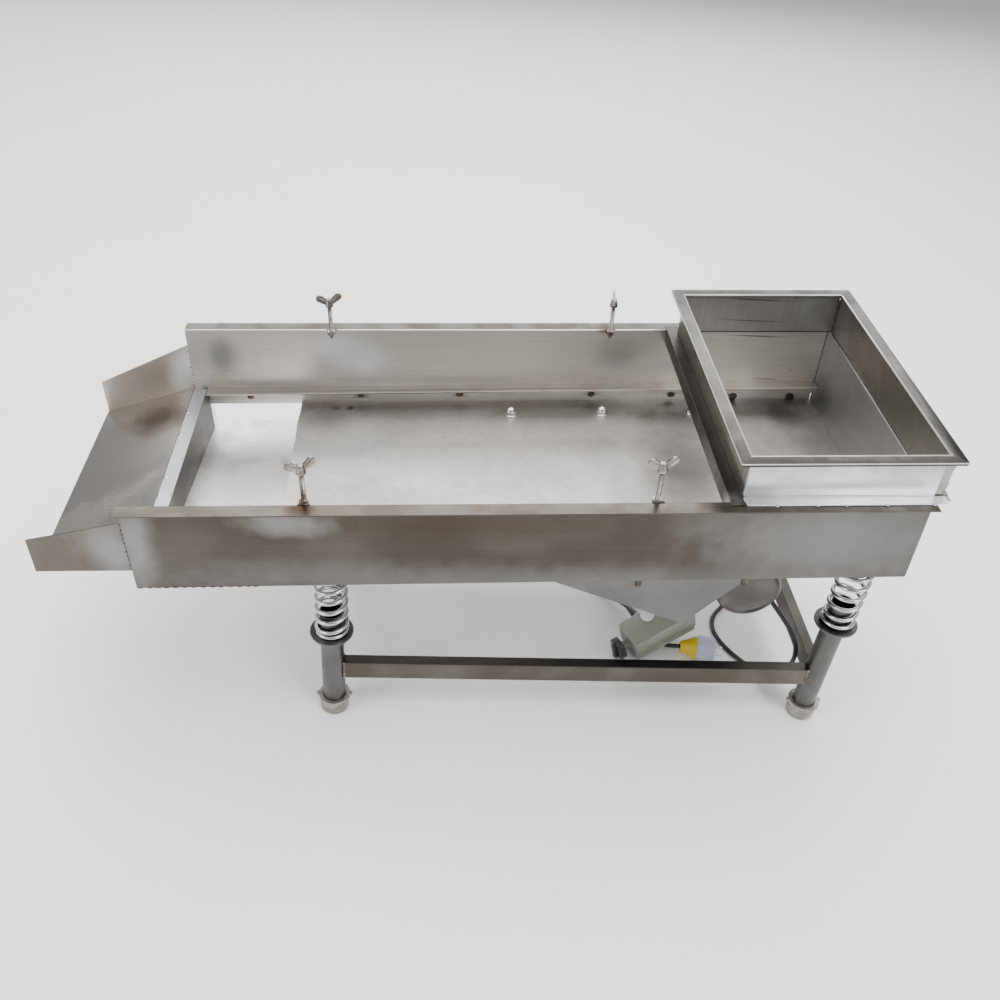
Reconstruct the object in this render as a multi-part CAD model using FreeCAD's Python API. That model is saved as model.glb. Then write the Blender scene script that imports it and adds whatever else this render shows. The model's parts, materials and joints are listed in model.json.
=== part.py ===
import FreeCAD, Part
import math
import os

V = FreeCAD.Vector

# Linear vibrating screen for food grains, millimetres.
# Row frame: origin on the floor under the middle of the machine, +X towards the feed hopper, +Z up.

# Driving dimensions of the sieve trough
trough_length = 1200.0
trough_width = 506.0
wall_height = 163.0
wall_taper_deg = 0.37
sheet = 2.0
flange_width = 26.0
fold_radius = 3.0
trough_slope_deg = 2.5
trough_end_height = 502.0

# Ledges that carry the sieve frame
ledge_depth = 124.4
ledge_leg = 28.0
ledge_thick = 3.0
ledge_slope_deg = 0.64

# Pan under the sieve and the chutes at the discharge end
pan_start = 200.0
end_strip = 24.0
undersize_drop = 58.0
oversize_length = 164.0
oversize_slope_deg = 10.8
outlet_inset = 33.0
wing_root_height = 94.0
wing_tip_height = 65.0

# Feed hopper
hopper_length = 288.0
hopper_height = 76.8
hopper_inset = 9.7
hopper_flange = 21.4
base_flange = 20.0
hopper_lip = 15.0
cross_angle_leg = 26.0

# Wing screws that hold the sieve frame down
screw_radius = 4.0
screw_clearance = 0.05
screw_tail = 14.0
screw_rise = 52.0
nut_flats = 13.0
nut_height = 8.0
nut_lift = 2.0
screw_from_outlet = 269.0
screw_from_hopper = 128.0
hub_height = 15.0
hub_radius = 8.0
hub_top_radius = 5.6
wing_thick = 3.0
wing_reach = 17.0
wing_root = 2.3
wing_root_depth = 9.0
wing_rise = 17.3
wing_lobe = 6.5
screw_turns = {"front_left": 25.0, "front_right": 10.0, "back_left": 15.0, "back_right": 85.0}

# Motor bracket and its bolts
bracket_from_left_leg = 219.6
bracket_from_right_leg = 126.4
bracket_nose = 151.0
bracket_depth = 167.0
bracket_inset = 63.0
bracket_plate = 4.0
bracket_flange = 33.0
bolt_radius = 6.0
bolt_clearance = 0.2
bolt_flats = 18.0
bolt_head = 6.0
bolt_nut = 9.0
bolt_tail = 26.0
bolt_inset = 46.0
bolt_from_start = 88.0
bolt_from_end = 78.0
mount_plate = 6.0

# Vibration motor
motor_axis_height = 66.0
motor_place = 106.0
motor_length = 302.0
motor_radius = 50.0
motor_cover_radius = 56.5
motor_cover_length = 82.0
cover_gap = 0.3
cover_round = 4.0
motor_ring_radius = 58.0
motor_ring_width = 12.0
motor_foot_inset = 18.0
motor_foot_reach = 58.0
motor_foot_width = 36.0
motor_foot_height = 14.0
motor_web_reach = 34.0
motor_web_width = 24.0
motor_web_height = 46.0
rib_count = 7
rib_first_deg = -30.0
rib_step_deg = 40.0
rib_thick = 3.0
rib_height = 6.0
rib_end = 20.0
terminal_reach = 32.0
terminal_width = 68.0
terminal_top = 32.0
terminal_sink = 14.0
terminal_round = 5.0
terminal_gap = 0.2
gland_rise = 18.0
gland_radius = 10.0
gland_nut = 9.0
gland_length = 21.0
gland_tip_radius = 6.0
cord_radius = 4.25

# Stand
leg_span_x = 863.0
leg_span_y = 400.0
leg_place = 296.4
leg_radius = 20.0
leg_wall = 2.0
rail_width = 20.0
rail_height = 38.0
rail_top = 123.0
rail_wall = 1.5
foot_radius = 25.0
foot_height = 34.0
foot_rim = 27.5
foot_rim_height = 4.0
foot_ear_reach = 31.5
foot_ear_width = 8.0
foot_round = 5.0
foot_floor = 6.0

# Springs and their seats
spring_length = 150.0
spring_radius = 25.2
wire_radius = 3.7
spring_turns = 7.5
ring_radius = 36.7
ring_thick = 4.0
spigot_height = 45.0
cap_radius = 33.0
cap_thick = 5.0
stub_radius = 18.0
stub_length = 32.0

# Switch box and plug that lie on the floor beside the stand
box_length = 130.0
box_width = 60.0
box_height = 50.0
box_plan_deg = 24.0
box_tilt_deg = 16.0
box_corner = (576.2, 112.1, 5.3)
box_round = 2.0
box_gland_radius = 9.0
box_gland_length = 16.0
box_gland_places = (45.0, 95.0)
knob_radius = 21.5
knob_disc = 12.0
knob_neck = 18.0
knob_neck_radius = 9.0
knob_gap = 0.3
grip_height = 8.0
grip_sink = 1.0
grip_width = 10.0
grip_margin = 2.5
plug_radius = 26.0
plug_place = (720.4, 122.3)
plug_turn_deg = -9.0
plug_length = 34.0
plug_round = 2.5
collar_length = 30.0
collar_end = 11.0
collar_start = 22.0
pin_radius = 2.4
pin_length = 19.0
pin_spread = 9.5

# Coil of the supply cord behind the stand
coil_place = (310.0, 190.0)
coil_radius = 47.0
coil_layers = 2

# Route of the motor's cord from its gland to the switch box
motor_route = [
    (533.6, -55.0, 213.8), (533.6, -85.0, 213.8), (544.0, -115.0, 202.0), (568.0, -135.0, 177.0),
    (594.0, -151.0, 145.0), (603.0, -161.0, 106.0), (598.0, -159.0, 70.0), (582.0, -142.0, 37.0),
    (562.0, -116.0, 12.0), (541.0, -82.0, 4.6), (517.0, -46.0, 4.3), (503.0, -4.0, 4.5),
    (512.0, 36.0, 4.3), (541.0, 66.0, 4.5), (569.0, 95.0, 4.3), (581.0, 130.0, 4.5),
    (566.0, 163.0, 4.3), (531.0, 180.0, 4.5), (490.0, 181.0, 4.3), (449.0, 168.0, 5.0),
    (415.0, 145.0, 11.0), (390.0, 112.0, 26.0), (376.0, 77.0, 43.0), (375.0, 44.0, 54.0),
    (385.9, 15.9, 55.5),
]
# Routes of the supply cord: from the switch box to the coil, and from the coil to the plug
supply_route_in = [
    (342.0, -3.7, 41.7), (330.7, 21.6, 40.0), (317.5, 52.5, 27.0), (300.7, 83.0, 11.0),
    (278.7, 114.5, 4.5), (262.6, 151.0, 4.3), (258.8, 190.0, 4.6),
]
supply_route_out = [
    (361.2, 190.0, 12.6), (364.5, 152.6, 9.0), (373.4, 117.0, 4.6), (377.3, 80.0, 4.3),
    (371.2, 41.5, 4.5), (366.0, 3.0, 4.3), (373.0, -31.5, 5.5), (392.8, -55.6, 13.0), (420.7, -67.7, 26.0),
]

# Values worked out from the driving dimensions
half_width = trough_width / 2
slope = math.radians(trough_slope_deg)
taper = math.radians(wall_taper_deg)
hopper_end = trough_length + sheet
hopper_start = hopper_end - hopper_length
screw_places = (screw_from_outlet, hopper_start - screw_from_hopper)
screw_axis_y = half_width - nut_flats / 2
tip_x = -oversize_length * math.cos(math.radians(oversize_slope_deg))
low_x = tip_x * math.cos(slope) + (ledge_depth - ledge_thick) * math.sin(slope)
high_x = (hopper_end + sheet + base_flange) * math.cos(slope)
trough_x = -(low_x + high_x) / 2
left_leg_x = trough_x + leg_place
right_leg_x = left_leg_x + leg_span_x
leg_y = leg_span_y / 2
bracket_start = leg_place + bracket_from_left_leg
bracket_end = leg_place + leg_span_x - bracket_from_right_leg
bracket_apex = bracket_end - bracket_nose
face_length = math.hypot(bracket_depth, bracket_nose)
first_bolt = bracket_start + bolt_from_start
last_bolt = bracket_end - bolt_from_end
bolt_places = (first_bolt, (first_bolt + last_bolt) / 2, last_bolt)
bolt_axis_y = half_width - bolt_inset
cover_start = motor_length / 2 - motor_cover_length


def box(x0, x1, y0, y1, z0, z1):
    """Block between two corners."""
    return Part.makeBox(x1 - x0, y1 - y0, z1 - z0, V(x0, y0, z0))


def prism(points, direction):
    """Closed outline of points pushed along a direction."""
    wire = Part.makePolygon(points + [points[0]])
    return Part.Face(wire).extrude(direction)


def cylinder(radius, start, end):
    """Round bar between two points."""
    axis = end - start
    return Part.makeCylinder(radius, axis.Length, start, axis)


def cone(r0, r1, start, end):
    """Tapered round bar between two points."""
    axis = end - start
    return Part.makeCone(r0, r1, axis.Length, start, axis)


def hexagon(flats, height, base):
    """Upright hexagonal prism, flats facing +Y and -Y."""
    corner = V(flats / math.sqrt(3), 0, 0)
    points = [base + FreeCAD.Rotation(V(0, 0, 1), 60 * i).multVec(corner) for i in range(6)]
    return prism(points, V(0, 0, height))


def fuse(shapes):
    """One clean solid from several."""
    return shapes[0].multiFuse(shapes[1:]).removeSplitter()


def mirror_y(shape):
    """The same piece on the far side of the machine."""
    return shape.mirror(V(0, 0, 0), V(0, 1, 0))


def round_edges(shape, radius, wanted):
    """Round the edges whose middle the test accepts."""
    edges = [e for e in shape.Edges if wanted(e.CenterOfMass, e)]
    return shape.makeFillet(radius, edges) if edges else shape


def turn_y(angle_deg, place):
    """Placement turned about Y, then moved."""
    return FreeCAD.Placement(place, FreeCAD.Rotation(V(0, 1, 0), angle_deg))


# Nested frames: trough, pan (along the walls' bottom edges), ledge, and in the pan frame the bracket's
# motor face (X up the face, Y back, Z out of the face) and the motor that is bolted to it
trough_frame = turn_y(-trough_slope_deg, V(trough_x, 0, trough_end_height))
pan_frame = trough_frame.multiply(turn_y(-wall_taper_deg, V(0, 0, -wall_height)))
ledge_frame = trough_frame.multiply(turn_y(-ledge_slope_deg, V(0, 0, -ledge_depth)))
face_rise_deg = math.degrees(math.atan2(bracket_depth, bracket_nose))
face_frame = turn_y(180 - face_rise_deg, V(bracket_apex, 0, -bracket_depth))
motor_frame = face_frame.multiply(FreeCAD.Placement(V(-motor_place, 0, 0), FreeCAD.Rotation()))


def placed(shape, frame):
    """Copy of a shape moved from its own frame into the row frame."""
    copy = shape.copy()
    copy.Placement = frame.multiply(copy.Placement)
    return copy


def wall():
    """Front side wall: sheet with a bottom edge that rises and its top edge folded outwards."""
    y = -half_width
    end = -wall_height + math.tan(taper) * trough_length
    points = [V(0, y, -wall_height), V(trough_length, y, end), V(trough_length, y, 0), V(0, y, 0)]
    plate = prism(points, V(0, -sheet, 0))
    flange = box(0, trough_length, y - flange_width, y, -sheet, 0)
    shape = fuse([plate, flange])
    return round_edges(shape, fold_radius, lambda c, e: abs(c.y - y) < 0.01 and abs(c.z) < 0.01)


def right_end_wall():
    """Plate that closes the trough under the hopper, its top edge folded outwards."""
    x = trough_length
    bottom = -wall_height + math.tan(taper) * x
    plate = box(x, x + sheet, -half_width, half_width, bottom, 0)
    flange = box(x, x + end_strip, -half_width - sheet, half_width + sheet, -sheet, 0)
    return fuse([plate, flange])


def slope_at(y):
    """Height of the undersize chute's floor in the pan frame."""
    return -undersize_drop * (y + half_width) / (trough_width + flange_width)


def left_end_wall():
    """Z-folded sheet: the strip that the oversize chute is tacked to, and the wall below it."""
    top = wall_height - ledge_depth
    strip = box(0, end_strip, -half_width, half_width, top - sheet, top)
    y0, y1 = -half_width, half_width
    x = end_strip - sheet
    sheet_points = [V(x, y0, slope_at(y0)), V(x, y1, slope_at(y1)), V(x, y1, top), V(x, y0, top)]
    return fuse([strip, prism(sheet_points, V(sheet, 0, 0))])


def bottom_pan():
    """Pan between the walls, from its cut edge to the hopper end, drilled for the bracket bolts."""
    shape = box(pan_start, trough_length, -half_width, half_width, 0, sheet)
    for x in bolt_places:
        for side in (-1, 1):
            axis = V(x, side * bolt_axis_y, 0)
            hole = cylinder(bolt_radius + bolt_clearance, axis - V(0, 0, 1), axis + V(0, 0, sheet + 1))
            shape = shape.cut(hole)
    return shape


def undersize_chute():
    """Chute floor that falls to the back, with a cheek under the pan's edge and one outside the wall."""
    y0 = -half_width
    y1 = half_width + flange_width
    x0 = end_strip - sheet
    x1 = pan_start + sheet
    floor_points = [V(x0, y0 - sheet, 0), V(x0, y0, 0), V(x0, y1, slope_at(y1))]
    floor_points += [V(x0, y1, slope_at(y1) - sheet), V(x0, y0, -sheet), V(x0, y0 - sheet, -sheet)]
    floor = prism(floor_points, V(x1 - x0, 0, 0))
    cheek_points = [V(pan_start, y0, 0), V(pan_start, y1, slope_at(y1)), V(pan_start, y1, 0)]
    inner = prism(cheek_points, V(sheet, 0, 0))
    outside = half_width + sheet
    outer_points = [V(x0, outside, slope_at(outside)), V(x0, y1, slope_at(y1))]
    outer_points += [V(x0, y1, 0), V(x0, outside, 0)]
    outer = prism(outer_points, V(sheet, 0, 0))
    return fuse([floor, inner, outer])


def ledge():
    """Front angle iron inside the wall; its upper leg carries the sieve frame."""
    x0 = end_strip + 1
    x1 = trough_length
    y = -half_width
    points = [V(x0, y, 0), V(x0, y + ledge_leg, 0), V(x0, y + ledge_leg, -ledge_thick)]
    points += [V(x0, y + ledge_thick, -ledge_thick), V(x0, y + ledge_thick, -ledge_leg), V(x0, y, -ledge_leg)]
    return prism(points, V(x1 - x0, 0, 0))


def oversize_plate():
    """Tapered floor of the oversize chute, sloping down from the end strip."""
    tip = half_width - outlet_inset
    strip_shift = (wall_height - ledge_depth) * math.sin(taper)
    root = -strip_shift - sheet * math.tan(math.radians(oversize_slope_deg))
    root_half = half_width + root * outlet_inset / oversize_length
    points = [V(root, -root_half, 0), V(root, root_half, 0)]
    points += [V(-oversize_length, tip, 0), V(-oversize_length, -tip, 0)]
    plate = prism(points, V(0, 0, -sheet))
    return placed(plate, turn_y(-oversize_slope_deg, V(0, 0, -ledge_depth)))


def chute_wing():
    """Front side plate of the oversize chute, lower at the outlet."""
    fall = -tip_x * math.tan(math.radians(oversize_slope_deg))
    run = math.hypot(tip_x, outlet_inset)
    floor = -ledge_depth - sheet
    points = [V(0, 0, floor), V(-run, 0, floor - fall), V(-run, 0, floor - fall + wing_tip_height)]
    points.append(V(0, 0, floor + wing_root_height))
    plate = prism(points, V(0, -sheet, 0))
    turn = math.degrees(math.atan2(outlet_inset, -tip_x))
    place = FreeCAD.Placement(V(0, -half_width, 0), FreeCAD.Rotation(V(0, 0, 1), -turn))
    return placed(plate, place)


def rim(x0, x1, y, out):
    """Mitred strip of the hopper's top flange along one side; out is its outward step in Y."""
    reach = hopper_flange
    points = [V(x0, y, 0), V(x1, y, 0), V(x1 + reach, y + out * reach, 0), V(x0 - reach, y + out * reach, 0)]
    strip = prism(points, V(0, 0, -sheet))
    strip.translate(V(0, 0, hopper_height))
    return strip


def hopper_front():
    """Front of the hopper: base flange on the trough flange, upright wall, top flange."""
    y = -half_width + hopper_inset
    upright = box(hopper_start, hopper_end, y - sheet, y, 0, hopper_height)
    foot = box(hopper_start + sheet, hopper_end + hopper_lip, y - sheet - base_flange, y - sheet, 0, sheet)
    return fuse([upright, foot, rim(hopper_start, hopper_end, y, -1)])


def side_rim(x, out):
    """Mitred strip of the hopper's top flange along a cross side."""
    y = half_width - hopper_inset
    reach = hopper_flange
    points = [V(x, -y, 0), V(x, y, 0), V(x + out * reach, y + reach, 0), V(x + out * reach, -y - reach, 0)]
    strip = prism(points, V(0, 0, -sheet))
    strip.translate(V(0, 0, hopper_height))
    return strip


def hopper_left():
    """Hopper wall over the sieve, standing on the cross angle."""
    x = hopper_start
    y = half_width - hopper_inset + sheet
    return fuse([box(x - sheet, x, -y, y, sheet, hopper_height), side_rim(x, -1)])


def hopper_right():
    """Hopper wall at the end, with a base flange and its upright ends folded outwards as lips."""
    x = hopper_end
    y = half_width - hopper_inset
    upright = box(x, x + sheet, -y, y, 0, hopper_height)
    pieces = [upright, side_rim(x, 1)]
    pieces.append(box(x + sheet, x + sheet + base_flange, -y, y, 0, sheet))
    for side in (-1, 1):
        edges = sorted((side * y, side * (y - sheet)))
        pieces.append(box(x, x + hopper_lip, edges[0], edges[1], 0, hopper_height))
    return fuse(pieces)


def cross_angle():
    """Folded angle across the trough that the hopper's inner wall stands on."""
    x0 = hopper_start - hopper_flange
    reach = half_width + base_flange / 2
    top = box(x0, hopper_start, -reach, reach, 0, sheet)
    leg = box(x0, x0 + sheet, -half_width + 1, half_width - 1, -cross_angle_leg, 0)
    return fuse([top, leg])


def clamp_nuts():
    """Four hexagon nuts welded to the walls' top inner edges."""
    nuts = []
    for x in screw_places:
        for side in (-1, 1):
            base = V(x, side * screw_axis_y, nut_lift - nut_height)
            nut = hexagon(nut_flats, nut_height, base)
            bore = cylinder(screw_radius + screw_clearance, base - V(0, 0, 1), base + V(0, 0, nut_height + 1))
            nuts.append(nut.cut(bore))
    return Part.makeCompound(nuts)


def clamp_screw(x, side, turn_deg):
    """Wing screw: threaded rod, tapered hub and two raised wings that end in round lobes."""
    rod = cylinder(screw_radius, V(0, 0, -screw_tail), V(0, 0, screw_rise + hub_height / 2))
    hub = cone(hub_radius, hub_top_radius, V(0, 0, screw_rise), V(0, 0, screw_rise + hub_height))
    pieces = [rod, hub]
    root = screw_rise + wing_root
    lobe = screw_rise + wing_rise
    half = V(0, wing_thick / 2, 0)
    for out in (-1, 1):
        tip = out * wing_reach
        points = [V(0, 0, root), V(tip, 0, lobe - wing_lobe), V(tip, 0, lobe + wing_lobe)]
        points.append(V(0, 0, root + wing_root_depth))
        pieces.append(prism([p - half for p in points], half * 2))
        centre = V(tip, 0, lobe)
        pieces.append(cylinder(wing_lobe, centre - half, centre + half))
    place = FreeCAD.Placement(V(x, side * screw_axis_y, 0), FreeCAD.Rotation(V(0, 0, 1), turn_deg))
    return placed(fuse(pieces), place)


def dome_bolt():
    """Bolt with a domed nut over the pan and a hexagon nut under the bracket flange."""
    top = sheet + bolt_head
    head = hexagon(bolt_flats, bolt_head, V(0, 0, sheet))
    dome = Part.makeSphere(bolt_flats / 2, V(0, 0, top))
    reach = bolt_flats
    dome = dome.common(box(-reach, reach, -reach, reach, sheet + bolt_head / 2, sheet + reach))
    nut = hexagon(bolt_flats, bolt_nut, V(0, 0, -bracket_plate - bolt_nut))
    rod = cylinder(bolt_radius, V(0, 0, -bolt_tail), V(0, 0, top))
    return fuse([head, dome, nut, rod])


def pan_bolts():
    """Six bolts that carry the motor bracket."""
    bolts = []
    for x in bolt_places:
        for side in (-1, 1):
            bolt = dome_bolt()
            bolt.translate(V(x, side * bolt_axis_y, 0))
            bolts.append(bolt)
    return Part.makeCompound(bolts)


def bracket_side():
    """Front triangular plate of the motor bracket, with the flange that bolts to the pan."""
    y = -half_width + bracket_inset
    points = [V(bracket_start, y, 0), V(bracket_end, y, 0), V(bracket_apex, y, -bracket_depth)]
    plate = prism(points, V(0, bracket_plate, 0))
    flange = box(bracket_start, bracket_end, y - bracket_flange, y, -bracket_plate, 0)
    shape = fuse([plate, flange])
    for x in bolt_places:
        axis = V(x, -bolt_axis_y, 0)
        hole = cylinder(bolt_radius + bolt_clearance, axis - V(0, 0, bracket_plate + 1), axis + V(0, 0, 1))
        shape = shape.cut(hole)
    return shape


def motor_mount():
    """Thick plate between the triangular plates that the motor is bolted to."""
    y = half_width - bracket_inset - bracket_plate
    plate = box(-face_length + mount_plate * 2, -mount_plate, -y, y, -mount_plate, 0)
    return placed(plate, face_frame)


def motor_body():
    """Cast motor housing with cooling ribs, end rings and feet, its axis across the machine."""
    c = V(0, 0, motor_axis_height)
    pieces = [cylinder(motor_radius, c - V(0, cover_start, 0), c + V(0, cover_start, 0))]
    for side in (-1, 1):
        edge = c + V(0, side * cover_start, 0)
        pieces.append(cylinder(motor_ring_radius, edge - V(0, side * motor_ring_width, 0), edge))
        y = side * (cover_start - motor_foot_inset)
        foot_half = motor_foot_width / 2
        web_half = motor_web_width / 2
        foot = box(-motor_foot_reach, motor_foot_reach, y - foot_half, y + foot_half, 0, motor_foot_height)
        web = box(-motor_web_reach, motor_web_reach, y - web_half, y + web_half, 0, motor_web_height)
        pieces += [foot, web]
    length = cover_start - rib_end
    low = motor_radius - rib_height / 2
    for i in range(rib_count):
        rib = box(low, motor_radius + rib_height, -length, length, -rib_thick / 2, rib_thick / 2)
        rib.Placement = FreeCAD.Placement(c, FreeCAD.Rotation(V(0, 1, 0), -rib_first_deg - rib_step_deg * i))
        pieces.append(rib)
    return placed(fuse(pieces), motor_frame)


def motor_covers():
    """Two deep-drawn end covers over the out-of-balance weights."""
    c = V(0, 0, motor_axis_height)
    covers = []
    for side in (-1, 1):
        start = c + V(0, side * (cover_start + cover_gap), 0)
        end = c + V(0, side * motor_length / 2, 0)
        cover = cylinder(motor_cover_radius, start, end)
        covers.append(round_edges(cover, cover_round, lambda p, e, y=end.y: abs(p.y - y) < 0.01))
    return placed(Part.makeCompound(covers), motor_frame)


def terminal_box():
    """Terminal box that sits on the motor's ribs."""
    half = terminal_width / 2
    low = motor_axis_height + motor_radius - terminal_sink
    high = motor_axis_height + motor_radius + terminal_top
    shape = box(-terminal_reach, terminal_reach, -half, half, low, high)
    shape = round_edges(shape, terminal_round, lambda p, e: abs(e.BoundBox.ZLength - high + low) < 0.01)
    axis = V(0, 0, motor_axis_height)
    seat = motor_radius + rib_height + terminal_gap
    shape = shape.cut(cylinder(seat, axis - V(0, terminal_width, 0), axis + V(0, terminal_width, 0)))
    return placed(shape, motor_frame)


def motor_gland():
    """Cable gland on the terminal box's front face."""
    base = V(0, -terminal_width / 2, motor_axis_height + motor_radius + gland_rise)
    nut_end = base - V(0, gland_nut, 0)
    nut = cylinder(gland_radius, base, nut_end)
    cap = cone(gland_radius - 1, gland_tip_radius, nut_end, base - V(0, gland_length, 0))
    return placed(fuse([nut, cap]), motor_frame)


def seat_height(x):
    """Height of the upper spring seat under the pan at a leg."""
    local = (x - pan_frame.Base.x) * math.tan(slope + taper)
    return pan_frame.Base.z + local - cap_radius * math.tan(slope + taper) - cap_thick


def spring_caps():
    """Upper seats: a plate cut to the pan's slope and a stub inside each spring."""
    caps = []
    above = box(-trough_length, trough_length * 2, -trough_width, trough_width, 0, wall_height)
    above = placed(above, pan_frame)
    for x in (left_leg_x, right_leg_x):
        for side in (-1, 1):
            z = seat_height(x)
            foot = V(x, side * leg_y, z)
            plate = cylinder(cap_radius, foot, foot + V(0, 0, cap_thick * 4))
            stub = cylinder(stub_radius, foot - V(0, 0, stub_length), foot + V(0, 0, 1))
            caps.append(fuse([plate.cut(above), stub]))
    return Part.makeCompound(caps)


def ring_top(x):
    """Height of the lower spring seat on a leg."""
    return seat_height(x) - spring_length


def leg(x, side):
    """Tube leg with the ring that the spring stands on; its top guides the spring."""
    y = side * leg_y
    top = ring_top(x)
    tube = cylinder(leg_radius, V(x, y, foot_floor), V(x, y, top + spigot_height))
    ring = cylinder(ring_radius, V(x, y, top - ring_thick), V(x, y, top))
    bore = cylinder(leg_radius - leg_wall, V(x, y, 0), V(x, y, top + spigot_height + 1))
    return fuse([tube, ring]).cut(bore)


def feet():
    """Cupped feet under the legs, each with a rim and two ears."""
    shapes = []
    low = foot_height - foot_rim_height
    half = foot_ear_width / 2
    for x in (left_leg_x, right_leg_x):
        for side in (-1, 1):
            y = side * leg_y
            cup = cylinder(foot_radius, V(x, y, 0), V(x, y, foot_height))
            cup = round_edges(cup, foot_round, lambda p, e: abs(p.z) < 0.01)
            rim_ring = cylinder(foot_rim, V(x, y, low), V(x, y, foot_height))
            ears = box(x - foot_ear_reach, x + foot_ear_reach, y - half, y + half, low, foot_height)
            hole = cylinder(leg_radius, V(x, y, foot_floor), V(x, y, foot_height + 1))
            shapes.append(fuse([cup, rim_ring, ears]).cut(hole))
    return Part.makeCompound(shapes)


def spring(x, side):
    """Coil spring with its ends ground flat against both seats."""
    z0 = ring_top(x)
    pitch = (spring_length + wire_radius) / spring_turns
    height = pitch * spring_turns
    helix = Part.makeHelix(pitch, height, spring_radius)
    circle = Part.Wire(Part.makeCircle(wire_radius, V(spring_radius, 0, 0), V(0, 1, 0)))
    coil = helix.makePipeShell([circle], True, True)
    coil = Part.Solid(coil) if coil.ShapeType == "Shell" else coil
    coil.translate(V(0, 0, -wire_radius / 2))
    reach = spring_radius + 2 * wire_radius
    ground = coil.common(box(-reach, reach, -reach, reach, 0, spring_length))
    ground.translate(V(x, side * leg_y, z0))
    return ground


def tube_rail(start, end):
    """Rectangular tube between two legs, with ends coped to the round legs."""
    z0 = rail_top - rail_height
    run = (end - start).Length
    half = rail_width / 2
    inside = half - rail_wall
    outer = box(0, run, -half, half, z0, rail_top)
    inner = box(-1, run + 1, -inside, inside, z0 + rail_wall, rail_top - rail_wall)
    shape = outer.cut(inner)
    for x in (0, run):
        shape = shape.cut(cylinder(leg_radius, V(x, 0, z0 - 1), V(x, 0, rail_top + 1)))
    return placed(shape, FreeCAD.Placement(start, FreeCAD.Rotation(V(1, 0, 0), end - start)))


def box_frame():
    """Frame of the switch box: X along it, Y back, Z up, tilted so that its knob end is low."""
    corner = V(box_corner[0] + left_leg_x, box_corner[1] - leg_y, box_corner[2])
    turn = FreeCAD.Rotation(V(0, 0, 1), box_plan_deg).multiply(FreeCAD.Rotation(V(0, 1, 0), -box_tilt_deg))
    return FreeCAD.Placement(corner, turn)


def switch_box():
    """Sheet housing of the reversing switch with a knob neck and two cable glands in its back."""
    body = box(0, box_length, 0, box_width, 0, box_height)
    body = round_edges(body, box_round, lambda p, e: e.Length > box_length - 1)
    middle = V(0, box_width / 2, box_height / 2)
    pieces = [body, cylinder(knob_neck_radius, middle, middle - V(knob_neck, 0, 0))]
    for x in box_gland_places:
        start = V(x, box_width, box_height / 2)
        pieces.append(cylinder(box_gland_radius, start, start + V(0, box_gland_length, 0)))
    return placed(fuse(pieces), box_frame())


def switch_knob():
    """Round switch knob with a grip bar across its face."""
    c = V(-knob_neck - knob_gap, box_width / 2, box_height / 2)
    disc = cylinder(knob_radius, c, c - V(knob_disc, 0, 0))
    face = c.x - knob_disc
    reach = knob_radius - grip_margin
    half = grip_width / 2
    bar = box(face - grip_height, face + grip_sink, c.y - half, c.y + half, c.z - reach, c.z + reach)
    return placed(fuse([disc, bar]), box_frame())


def plug_frame():
    """Frame of the plug: X from its body towards the pins, on the floor."""
    place = V(plug_place[0] + left_leg_x, plug_place[1] - leg_y, plug_radius)
    return FreeCAD.Placement(place, FreeCAD.Rotation(V(0, 0, 1), plug_turn_deg))


def plug_body():
    """Round plug body with rounded rims."""
    shape = cylinder(plug_radius, V(-plug_length, 0, 0), V(0, 0, 0))
    return placed(round_edges(shape, plug_round, lambda p, e: abs(e.BoundBox.XLength) < 0.01), plug_frame())


def plug_collar():
    """Tapered cable collar of the plug."""
    start = V(-plug_length - collar_length, 0, 0)
    return placed(cone(collar_end, collar_start, start, V(-plug_length, 0, 0)), plug_frame())


def plug_pins():
    """Two round contact pins."""
    pins = [cylinder(pin_radius, V(0, s * pin_spread, 0), V(pin_length, s * pin_spread, 0)) for s in (-1, 1)]
    return placed(Part.makeCompound(pins), plug_frame())


def cord_path(points):
    """Straight runs joined by tangent arcs, with the radius of each arc."""
    corners = [V(*p) for p in points]
    edges = []
    radii = []
    last = corners[0]
    for a, b, c in zip(corners, corners[1:], corners[2:]):
        back = a - b
        ahead = c - b
        cut = 0.45 * min(back.Length, ahead.Length)
        turn = math.pi - back.getAngle(ahead)
        radius = cut / math.tan(turn / 2)
        radii.append(radius)
        back.normalize()
        ahead.normalize()
        start = b + back * cut
        end = b + ahead * cut
        inward = back + ahead
        inward.normalize()
        middle = b + inward * (radius / math.cos(turn / 2) - radius)
        edges.append(Part.LineSegment(last, start).toShape())
        edges.append(Part.Arc(start, middle, end).toShape())
        last = end
    edges.append(Part.LineSegment(last, corners[-1]).toShape())
    return Part.Wire(edges), radii


def cord_tube(name, points):
    """Solid cord along a route; prints its length and its tightest bend."""
    path, radii = cord_path(points)
    start = V(*points[0])
    profile = Part.Wire(Part.makeCircle(cord_radius, start, V(*points[1]) - start))
    tube = path.makePipeShell([profile], True, False)
    ratio = round(tube.Volume / (math.pi * cord_radius ** 2 * path.Length), 4)
    print(name, "length", round(path.Length), "tightest bend", round(min(radii)), "volume ratio", ratio)
    return tube


def motor_cord():
    """The motor's cord, from its gland to the switch box."""
    return cord_tube("motor_cord", motor_route).cut(switch_box())


def supply_coil():
    """Outer shape of the coiled supply cord: two turns wide and two high."""
    c = V(coil_place[0], coil_place[1], 0)
    height = 2 * cord_radius * coil_layers
    half = cord_radius * coil_layers
    ring = cylinder(coil_radius + half, c, c + V(0, 0, height))
    return ring.cut(cylinder(coil_radius - half, c - V(0, 0, 1), c + V(0, 0, height + 1)))


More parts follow.
